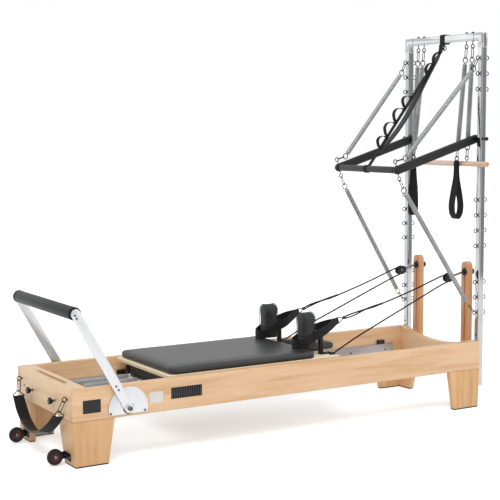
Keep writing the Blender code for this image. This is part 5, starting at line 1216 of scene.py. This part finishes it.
for label, side in sides:
    y, half = side * casters["y"], casters["width"] / 2
    centre = (casters["x"], y, casters["z"])
    bm = bmesh.new()
    tyre = ((0, 0.024), (0, 0.0325), (0.0022, 0.0360), (0.006, casters["radius"]))
    hub = (
        (0.001, 0.0245), (-0.0002, 0.0225), (0.0030, 0.0200), (0.0036, 0.0120), (0.0006, 0.0105),
        (0.0006, casters["bore"]),
    )
    for index, shape in enumerate((tyre, hub)):
        addTurned(bm, mirrored([(a - half, r) for a, r in shape]), centre, yAxis, 40, bored=True, index=index)
    wears = ["blackRubber", "maroonHub"]
    standFor(f"transport_wheel_{label}", "tyre", bm, wears, f"transport_wheel_{label}")
    bm = bmesh.new()
    gap = half + 0.001
    low, high = casters["z"] - casters["plate"] / 2, casters["z"] + casters["plate"] / 2
    lowFace, highFace, middle = legFace(low), legFace(high), side * casters["plateY"]
    outline = [(lowFace, low), (highFace, high), (highFace - 0.004, high)]
    outline += arcPoints((casters["x"], casters["z"]), 0.013, math.pi / 2, 1.5 * math.pi, 14)
    outline.append((lowFace - 0.004, low))
    addSlab(bm, outline, "Y", y + gap, y + gap + 0.004, 0.0008)
    outline = [(lowFace, low), (highFace, high), (highFace - 0.0035, high), (lowFace - 0.0035, low)]
    addSlab(bm, outline, "Y", middle - 0.037, middle + 0.037, 0.0008)
    end = 2 * gap
    bolt = [
        (-0.003, 0.0052), (end, 0.0052), (end, 0.0092), (end + 0.0035, 0.0092), (end + 0.006, 0.0065),
        (end + 0.0048, 0.003),
    ]
    addTurned(bm, bolt, (casters["x"], y + gap, casters["z"]), (0, -1, 0), 24, index=1)
    for across in (-0.030, 0.030):
        place = (legFace(casters["z"]) - 0.0035, middle + across, casters["z"])
        addScrew(bm, place, (-1, 0, 0), 0.0044, 0.0022, 1)
    standFor(f"wheel_bracket_{label}", "plate", bm, ["blackSteel", "zinc"], "frame")
print("foot end made")


# tower

tower = {
    "x": 1.2183, "y": 0.3133, "tube": 0.036, "round": 0.006, "foot": 0.115, "top": 1.996, "headTop": 2.036,
    "corner": 0.039, "cornerDrop": 0.081, "barFoot": 1.994, "eyeReach": 0.0145, "hangZ": 1.966,
    "hangDrop": 0.028, "bolts": (0.224, 0.316), "pitch": 0.0838,
    "rows": ((0.5187, 3), (0.8847, 4), (1.7323, 3)), "screw": 0.392,
    "hangers": (-0.234, -0.183, 0.0, 0.183, 0.234), "seams": (-0.262, 0.262),
}
eyeHeights = [start + k * tower["pitch"] for start, count in tower["rows"] for k in range(count)]


def addHexNut(bm, place, axis, radius, height, index=0):
    before = set(bm.verts)
    made = bmesh.ops.create_cone(
        bm, cap_ends=True, segments=6, radius1=radius, radius2=radius, depth=height,
    )["verts"]
    bmesh.ops.translate(bm, verts=made, vec=(0, 0, height / 2))
    roundEdges(bm, edgesOf(made), 0.0007, 2)
    made = newVerts(bm, before)
    bmesh.ops.transform(bm, verts=made, matrix=standAt(place, axis))
    paint(made, index)


for label, side in sides:
    y, half = side * tower["y"], tower["tube"] / 2
    bm = bmesh.new()
    outline = roundedOutline(half, half, tower["round"], 6, (tower["x"], y))
    addSlab(bm, outline, "Z", tower["foot"] + 0.001, tower["top"])
    # its foot plug
    outline = roundedOutline(half - 0.001, half - 0.001, tower["round"] - 0.001, 6, (tower["x"], y))
    addSlab(bm, outline, "Z", tower["foot"], tower["foot"] + 0.002, index=1)
    for z in eyeHeights:
        for way in (-1, 1):
            eye = (tower["x"] + way * (half + tower["eyeReach"]), y, z)
            addEye(bm, eye, (-way, 0, 0), yAxis, 0.0016, 2)
    for z in tower["bolts"]:
        addHexNut(bm, (tower["x"] + half - 0.0005, y, z), xAxis, 0.008, 0.0085, 2)
    addScrew(bm, (tower["x"] - half, y, tower["screw"]), (-1, 0, 0), 0.0050, 0.0028, 2)
    wears = ["chrome", "blackPlastic", "ringSteel"]
    standFor(f"tower_post_{label}", "tube", bm, wears, "frame", 30)

half, outerY, innerY = tower["corner"] / 2, tower["y"] + tower["corner"] / 2, tower["y"] - tower["corner"] / 2
bm = bmesh.new()
footZ = tower["headTop"] - tower["cornerDrop"]
outline = [
    (-outerY, footZ), (-outerY, tower["headTop"]), (outerY, tower["headTop"]), (outerY, footZ),
    (innerY, footZ), (innerY, tower["barFoot"]), (-innerY, tower["barFoot"]), (-innerY, footZ),
]
addSlab(bm, outline, "X", tower["x"] - half, tower["x"] + half, 0.0045, 3)
shank = tower["hangDrop"] - eyes["ring"] - eyes["wire"] + 0.0006
for y in tower["hangers"]:
    addEye(bm, (tower["x"], y, tower["hangZ"]), zAxis, yAxis, shank, 1)
    addHexNut(bm, (tower["x"], y, tower["headTop"] - 0.0005), zAxis, 0.008, 0.008, 1)
# the seam where the bar plugs into its corner piece
barMiddle = (tower["x"], (tower["barFoot"] + tower["headTop"]) / 2)
outline = roundedOutline(half + 0.0004, 0.0214, 0.0045, 4, barMiddle)
for y in tower["seams"]:
    addSlab(bm, outline, "Y", y - 0.0012, y + 0.0012, index=2)
wears = ["chrome", "ringSteel", "blackPlastic"]
addPiece("tower_head_bar", bm, wears, "frame", ["tower_crossbar"], 30)

# pulleys on their wooden risers
pulley = {
    "x": 1.086, "y": 0.212, "z": 0.709, "radius": 0.022, "groove": 0.0158, "width": 0.014, "bore": 0.0036,
    "cheek": (0.034, 0.025, 0.003), "riserX": 1.2003, "boltZ": 0.733, "disc": 0.019, "discThick": 0.012,
    "bolt": 0.004, "knob": 0.018, "riser": 0.033,
}
for label, side in sides:
    y = side * pulley["y"]
    half = pulley["width"] / 2
    centre = Vector((pulley["x"], y, pulley["z"]))
    bm = bmesh.new()
    profile = [
        (-half, pulley["bore"]), (-half, 0.010), (-half + 0.001, 0.0105), (-half + 0.001, 0.0185),
        (-half, 0.019), (-half, pulley["radius"]), (-half + 0.0012, pulley["radius"]),
        (-0.0028, pulley["groove"] + 0.0011), (-0.001, pulley["groove"]),
    ]
    addTurned(bm, mirrored(profile), centre, yAxis, 36, bored=True)
    standFor(f"pulley_sheave_{label}", "wheel", bm, "blackPlastic", f"sheave_{label}")
    slope = math.atan2(pulley["boltZ"] - pulley["z"], pulley["riserX"] - pulley["x"])
    along = Vector((math.cos(slope), 0, math.sin(slope)))
    outline = []
    for k in range(40):
        angle = 2 * math.pi * k / 40
        a, b = pulley["cheek"][0] * math.cos(angle), pulley["cheek"][1] * math.sin(angle)
        outline.append((centre.x + a * along.x - b * along.z, centre.z + a * along.z + b * along.x))
    bm = bmesh.new()
    reach = half + 0.001
    neck = reach + pulley["cheek"][2]
    for way in (-1, 1):
        addSlab(bm, outline, "Y", *sorted((y + way * reach, y + way * neck)), 0.0008)
        addScrew(bm, (centre.x, y + way * neck, centre.z), (0, way, 0), 0.0062, 0.0024, 1)
    addTurned(bm, [(-reach - 0.001, 0.0033), (reach + 0.001, 0.0033)], centre, yAxis, 16)
    tail = centre + along * (pulley["radius"] + 0.0030)
    face = pulley["riserX"] - 0.0003
    into = Vector((face - pulley["discThick"] + 0.002, y, pulley["boltZ"])) - tail
    profile = [(0, neck), (0.011, neck), (0.015, 0.0078), (0.018, 0.0062), (into.length, 0.0062)]
    addTurned(bm, profile, tail, into, 24, index=1)
    # the disc in front of the riser, the bolt through its slot, and the knob behind it
    through, place = pulley["riser"] + 0.0006, (face, y, pulley["boltZ"])
    disc, knob = pulley["disc"], pulley["knob"]
    profile = [(-0.0120, 0.011), (-0.0095, 0.0165), (-0.0060, disc), (-0.0005, disc), (0, 0.018)]
    addTurned(bm, profile, place, xAxis, 36)
    addTurned(bm, [(-0.001, pulley["bolt"]), (through + 0.002, pulley["bolt"])], place, xAxis, 16, index=1)
    shape = (
        (0, 0.0135), (0.004, 0.0145), (0.007, 0.0172), (0.010, knob), (0.019, knob), (0.025, 0.0160),
        (0.028, 0.0110),
    )
    addTurned(bm, [(through + a, r) for a, r in shape], place, xAxis, 36)
    wears = ["blackPlastic", "zinc"]
    standFor(f"pulley_carrier_{label}", "block", bm, wears, f"pulley_{label}")
print("tower made")


# push-through bar, its springs and the safety strap

push = {
    "z": 1.466, "reach": 0.556, "drop": math.radians(16.7), "armY": 0.265, "width": 0.045, "thick": 0.028,
    "tube": 0.018, "pin": 0.008, "eye": 0.0475,
    "hooks": {
        "upper": (0.064, math.radians(32), math.radians(18)),
        "lower": (0.068, math.radians(8), math.radians(8)),
    },
}
barAlong = Vector((-math.cos(push["drop"]), 0, -math.sin(push["drop"])))
front = Vector((tower["x"], 0, push["z"])) + push["reach"] * barAlong
square = Vector((-math.sin(push["drop"]), 0, math.cos(push["drop"])))
bm = bmesh.new()
stub = push["eye"] - push["width"] / 2 - eyes["ring"] - eyes["wire"] + 0.001
for label, side in sides:
    innerFace, outerFace = [side * (push["armY"] + way * push["thick"] / 2) for way in (-1, 1)]
    outline = capsule((tower["x"], push["z"]), (front.x, front.z), push["width"] / 2, 16)
    addSlab(bm, outline, "Y", *sorted((innerFace, outerFace)), 0.0075, 4)
    step = tower["y"] - tower["tube"] / 2 - 0.0003 - push["armY"] - push["thick"] / 2
    profile = [
        (-0.003, 0.0130), (step * 0.85, 0.0130), (step, 0.0120), (step, push["pin"]),
        (step + 0.007, push["pin"]),
    ]
    addTurned(bm, profile, (tower["x"], outerFace, push["z"]), (0, side, 0), 28, index=1)
    for way in (-1, 1):
        eye = front + way * push["eye"] * square
        addEye(bm, (eye.x, side * push["armY"], eye.z), -way * square, yAxis, stub, 1)
    # the tube's end cap on the arm's outer face
    cap = [(-0.002, 0.0150), (0.0014, 0.0150), (0.0024, 0.0135), (0.0018, 0.0050)]
    addTurned(bm, cap, (front.x, outerFace, front.z), (0, side, 0), 28, index=2)
reach = push["armY"] - push["thick"] / 2 + 0.002
profile = [
    (-reach, 0.0135), (-reach + 0.010, 0.0135), (-reach + 0.011, 0.0172), (-reach + 0.014, push["tube"]),
]
addTurned(bm, mirrored(profile), (front.x, 0, front.z), yAxis, 36, index=3)
wears = ["barBlack", "ringSteel", "blackPlastic", "barGrey"]
standFor("push_bar", "frame", bm, wears, "push_bar")

lock = {"stem": 0.006, "seat": 0.015, "ball": 0.0105, "reach": 0.024}
for label, side in sides:
    face = tower["y"] + tower["tube"] / 2
    profile = [(-lock["seat"], push["pin"]), (-0.001, push["pin"]), (-0.001, lock["stem"])]
    first = math.asin(lock["stem"] / lock["ball"])
    for k in range(15):
        angle = first + (math.pi - 0.25 - first) * k / 14
        profile.append((lock["reach"] - lock["ball"] * math.cos(angle), lock["ball"] * math.sin(angle)))
    bm = bmesh.new()
    addTurned(bm, profile, (tower["x"], side * face, push["z"]), (0, side, 0), 28)
    standFor(f"lock_knob_{label}", "ball", bm, "blackPlastic", f"lock_knob_{label}")

coils = {"radius": 0.0130, "wire": 0.0014, "pitch": 0.0029, "neck": 0.010}


def tipped(direction, angle):
    # the same direction, raised by an angle
    level = Vector((direction.x, direction.y, 0))
    height = math.atan2(direction.z, level.length) + angle
    return level.normalized() * math.cos(height) + math.sin(height) * zAxis


def addSpring(bm, first, second, firstEye, secondEye, ends):
    # a close-wound spring, with a ring and a long link at each end; ends: the two rings' looks
    along = (second - first).normalized()
    start, end = first + along * eyes["ringBig"], second - along * eyes["ringBig"]
    radius, neck = coils["radius"], coils["neck"]
    addCoil(bm, start + along * neck, end - along * neck, radius, coils["wire"], coils["pitch"])
    # the last turns draw in to a plug that the ring passes through
    plug = [
        (-0.0012, 0.0030), (0.002, 0.0050), (neck * 0.8, radius - 0.0008), (neck + 0.002, radius - 0.0020),
    ]
    for place, way in ((start, 1), (end, -1)):
        addTurned(bm, plug, place, way * along, 18)
    for ring, eye, index in ((first, firstEye, ends[0]), (second, secondEye, ends[1])):
        addRing(bm, ring, yAxis, eyes["ringBig"], eyes["ringWire"], 28, index)
        hookUp(bm, ring, eyes["ringBig"], eyes["ringWire"], eye, yAxis, 1)


for label, side in sides:
    for height, way in (("upper", 1), ("lower", -1)):
        hook, barSlack, postSlack = push["hooks"][height]
        barEye = front + way * push["eye"] * square
        barEye.y = side * push["armY"]
        z = eyeHeights[-1] if way > 0 else eyeHeights[0]
        postEye = Vector((tower["x"] - tower["tube"] / 2 - tower["eyeReach"], side * tower["y"], z))
        pull = (postEye - barEye).normalized()
        bm = bmesh.new()
        # it hangs slack between its hooks, so each hook turns down a little from the straight line
        first, second = barEye + hook * tipped(pull, -barSlack), postEye - hook * tipped(pull, postSlack)
        addSpring(bm, first, second, barEye, postEye, (1, 1 if way > 0 else 2))
        wears = ["springSteel", "ringSteel", "brassZinc"]
        piece = standFor(f"push_spring_{height}_{label}", "coil", bm, wears, None)
        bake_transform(piece)

strap = {
    "ears": (
        (0.010, 0.070, 0.022), (0.090, 0.070, 0.026), (0.330, 0.070, 0.043), (0.415, 0.085, 0.045),
        (0.512, 0.085, 0.046), (0.607, 0.070, 0.040),
    ),
    "sag": 0.034, "top": (1.1920, 0, 1.950), "wrap": 0.0202, "stitches": (0.006, 0.020),
}
strapTop = Vector(strap["top"])
pull = (front - strapTop).normalized()
rise = -pull.cross(yAxis)  # square to the strap, on its upper side
length = (front - strapTop).length - push["tube"] - 0.002
bm = bmesh.new()
addBand(bm, [strapTop + pull * length * k / 63 for k in range(64)], yAxis, 0.026, 0.0040)
for start, span, height in strap["ears"]:
    # an ear is a sewn loop: where it starts along the strap, its length and its height
    footAt, endAt = strapTop + pull * start, strapTop + pull * (start + span)
    middle = (footAt + endAt) / 2
    high, wide = rise * height, pull * span
    route = [
        footAt, footAt + high * 0.45 + wide * 0.04, middle + high - wide * 0.16, middle + high + wide * 0.20,
        endAt + high * 0.40 - wide * 0.02, endAt,
    ]
    addBand(bm, smoothPath(route, 22), yAxis, 0.025, 0.0030)
around = [2 * math.pi * k / 36 for k in range(36)]
wrap = [front + strap["wrap"] * Vector((math.cos(a), 0, math.sin(a))) for a in around]
addBand(bm, wrap, yAxis, 0.026, 0.0030, closed=True)
webbing = standFor("safety_strap", "webbing", bm, "webbing", None)
roundStrap(webbing, 0.0008)
applyModifiers(webbing)
sag = []
for k in range(49):
    share = k / 48
    fall = max(0.0, math.sin(math.pi * share**1.6)) ** 0.9
    sag.append(strapTop + pull * (0.020 + (length - 0.110) * share) - rise * strap["sag"] * fall)
bm = bmesh.new()
taper = [min(1.0, min(n, 48 - n) / 3) for n in range(49)]
addBand(bm, sag, yAxis, [0.026 + 0.014 * t for t in taper], [0.004 + 0.005 * t for t in taper])
band = addPiece("safety_strap_pad", bm, "padWebbing", None)
roundStrap(band, 0.0030, 3)
applyModifiers(band)
bm = bmesh.new()
eye = (tower["x"], 0, tower["hangZ"])
hookUp(bm, strapTop, eyes["link"], eyes["linkWire"], eye, yAxis, 0, eyes["link"])
addPiece("safety_strap_link", bm, "ringSteel", "frame")

# the webbing's top end goes round the crossbar
bm = bmesh.new()
outline = roundedOutline(tower["corner"] / 2 + 0.0020, 0.0256, 0.006, 5, barMiddle)
addBand(bm, [Vector((a, 0, b)) for a, b in outline], yAxis, 0.034, 0.0030, closed=True)
tail = [(tower["x"] - 0.0215, 0, 2.004), (tower["x"] - 0.0255, 0.001, 1.984)]
tail += [strapTop + Vector((-0.004, 0, 0.012)), strapTop + pull * 0.020 + rise * 0.004]
addBand(bm, smoothPath(tail, 14), yAxis, 0.028, 0.0034)
outline = roundedOutline(0.0065, 0.0170, 0.004, 4, (tower["x"] - 0.0230, 0))
for drop in strap["stitches"]:
    knot = [Vector((a, b, 1.986 - drop)) for a, b in outline]
    addBand(bm, knot, (0.25, 0, 1), 0.010, 0.0030, closed=True)
wrapPiece = addPiece("safety_strap_top", bm, "webbing", "frame")
roundStrap(wrapPiece, 0.0008)
for piece in (webbing, band):
    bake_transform(piece)
print("push bar made")


# hanging springs, roll-down bar and hand loops

hanging = {"topHook": 0.074, "rollHook": 0.060, "loopHook": 0.058, "outer": 0.234, "inner": 0.183}
dowel = {"x": 1.1849, "z": 1.330, "near": -0.402, "length": 0.655, "radius": 0.0145}


def hangPoint(y, swing, drop):
    return Vector((tower["x"] - drop * math.sin(swing), y, tower["hangZ"] - drop * math.cos(swing)))


def addHangingSpring(bm, y, swing, low, firstHook):
    top, bottom = hangPoint(y, swing, 0), hangPoint(y, swing, low)
    first, second = hangPoint(y, swing, hanging["topHook"]), hangPoint(y, swing, low - firstHook)
    # its top ring is black
    addSpring(bm, first, second, top, bottom, (2, 1))
    return bottom


swing = math.atan2(tower["x"] - dowel["x"], tower["hangZ"] - dowel["z"])
drop = (tower["hangZ"] - dowel["z"]) / math.cos(swing) - dowel["radius"] - tower["eyeReach"] - 0.002
springLooks = ["springSteel", "ringSteel", "blackPlastic"]
bm = bmesh.new()
profile = [(0, dowel["radius"] - 0.0025), (0.0012, dowel["radius"] - 0.0008), (0.003, dowel["radius"])]
profile = mirrored(profile, dowel["length"] / 2)
addTurned(bm, profile, (dowel["x"], dowel["near"], dowel["z"]), yAxis, 32)
for f in bm.faces:
    off = abs(f.calc_center_median().y - dowel["near"] - dowel["length"] / 2)
    f.material_index = int(off > dowel["length"] / 2 - 0.0005)
for label, side in sides:
    eye = hangPoint(side * hanging["outer"], swing, drop)
    addEye(bm, eye, hangPoint(0, swing, 1) - hangPoint(0, swing, 0), yAxis, 0.004, 2)
standFor("roll_down_bar", "dowel", bm, ["dowelBeech", "endGrain", "zinc"], "roll_down")
for label, side in sides:
    bm = bmesh.new()
    addHangingSpring(bm, side * hanging["outer"], swing, drop, hanging["rollHook"])
    standFor(f"roll_down_spring_{label}", "coil", bm, springLooks, "roll_down")

handLoops = {
    "top": 1.345, "length": 0.322, "bulge": 0.031, "thick": 0.006, "width": 0.046, "topWidth": 0.028,
    "turns": {"near": (5.6, 0), "far": (6.4, 40)}, "keepers": ((0.020, 0.016), (0.054, 0.020)),
    "outline": (
        (0.0, 0.0), (0.15, 0.02), (0.14, 0.14), (0.16, 0.30), (0.48, 0.48), (0.87, 0.67), (1.0, 0.79),
        (0.77, 0.92), (0.0, 1.0),
    ),
}
for label, side in sides:
    turn, facing = [math.radians(a) for a in handLoops["turns"][label]]
    y = side * hanging["inner"]
    topDrop = (tower["hangZ"] - handLoops["top"]) / math.cos(turn)
    ringDrop = topDrop - handLoops["thick"] / 2 - eyes["ring"]
    bm = bmesh.new()
    bottom = addHangingSpring(bm, y, turn, ringDrop, hanging["loopHook"])
    standFor(f"hand_loop_spring_{label}", "coil", bm, springLooks, f"hand_loop_{label}")
    reach = handLoops["length"] - handLoops["thick"]
    half = [(handLoops["bulge"] * a, -reach * b) for a, b in handLoops["outline"]]
    outline = half + [(-a, b) for a, b in half[-2:0:-1]]
    across = Vector((math.cos(facing), math.sin(facing), 0))
    top = hangPoint(y, turn, topDrop)
    path = smoothPath([top + a * across + b * zAxis for a, b in outline], 96, closed=True)
    spread = handLoops["width"] - handLoops["topWidth"]
    width = [handLoops["topWidth"] + spread * min(1.0, max(0.0, (top.z - p.z) / 0.16)) for p in path]
    thick = [0.0042 + 0.0022 * min(1.0, max(0.0, (top.z - p.z - 0.05) / 0.06)) for p in path]
    bm = bmesh.new()
    addBand(bm, path, zAxis.cross(across), width, thick, closed=True)
    # the two keepers sewn round both runs below the ring: how far down, and how wide
    for down, broad in handLoops["keepers"]:
        outline = roundedOutline(0.0085, 0.0155, 0.004, 4)
        ring = [top - zAxis * down + across * a + zAxis.cross(across) * b for a, b in outline]
        addBand(bm, ring, zAxis, broad, 0.0022, closed=True)
    loop = standFor(f"hand_loop_{label}", "strap", bm, "webbing", f"hand_loop_{label}")
    roundStrap(loop, 0.0009)
    bm = bmesh.new()
    addRing(bm, bottom, yAxis, eyes["ring"] + 0.001, eyes["wire"])
    addPiece(f"hand_loop_{label}_ring", bm, "ringSteel", f"hand_loop_{label}")
print("hanging gear made")
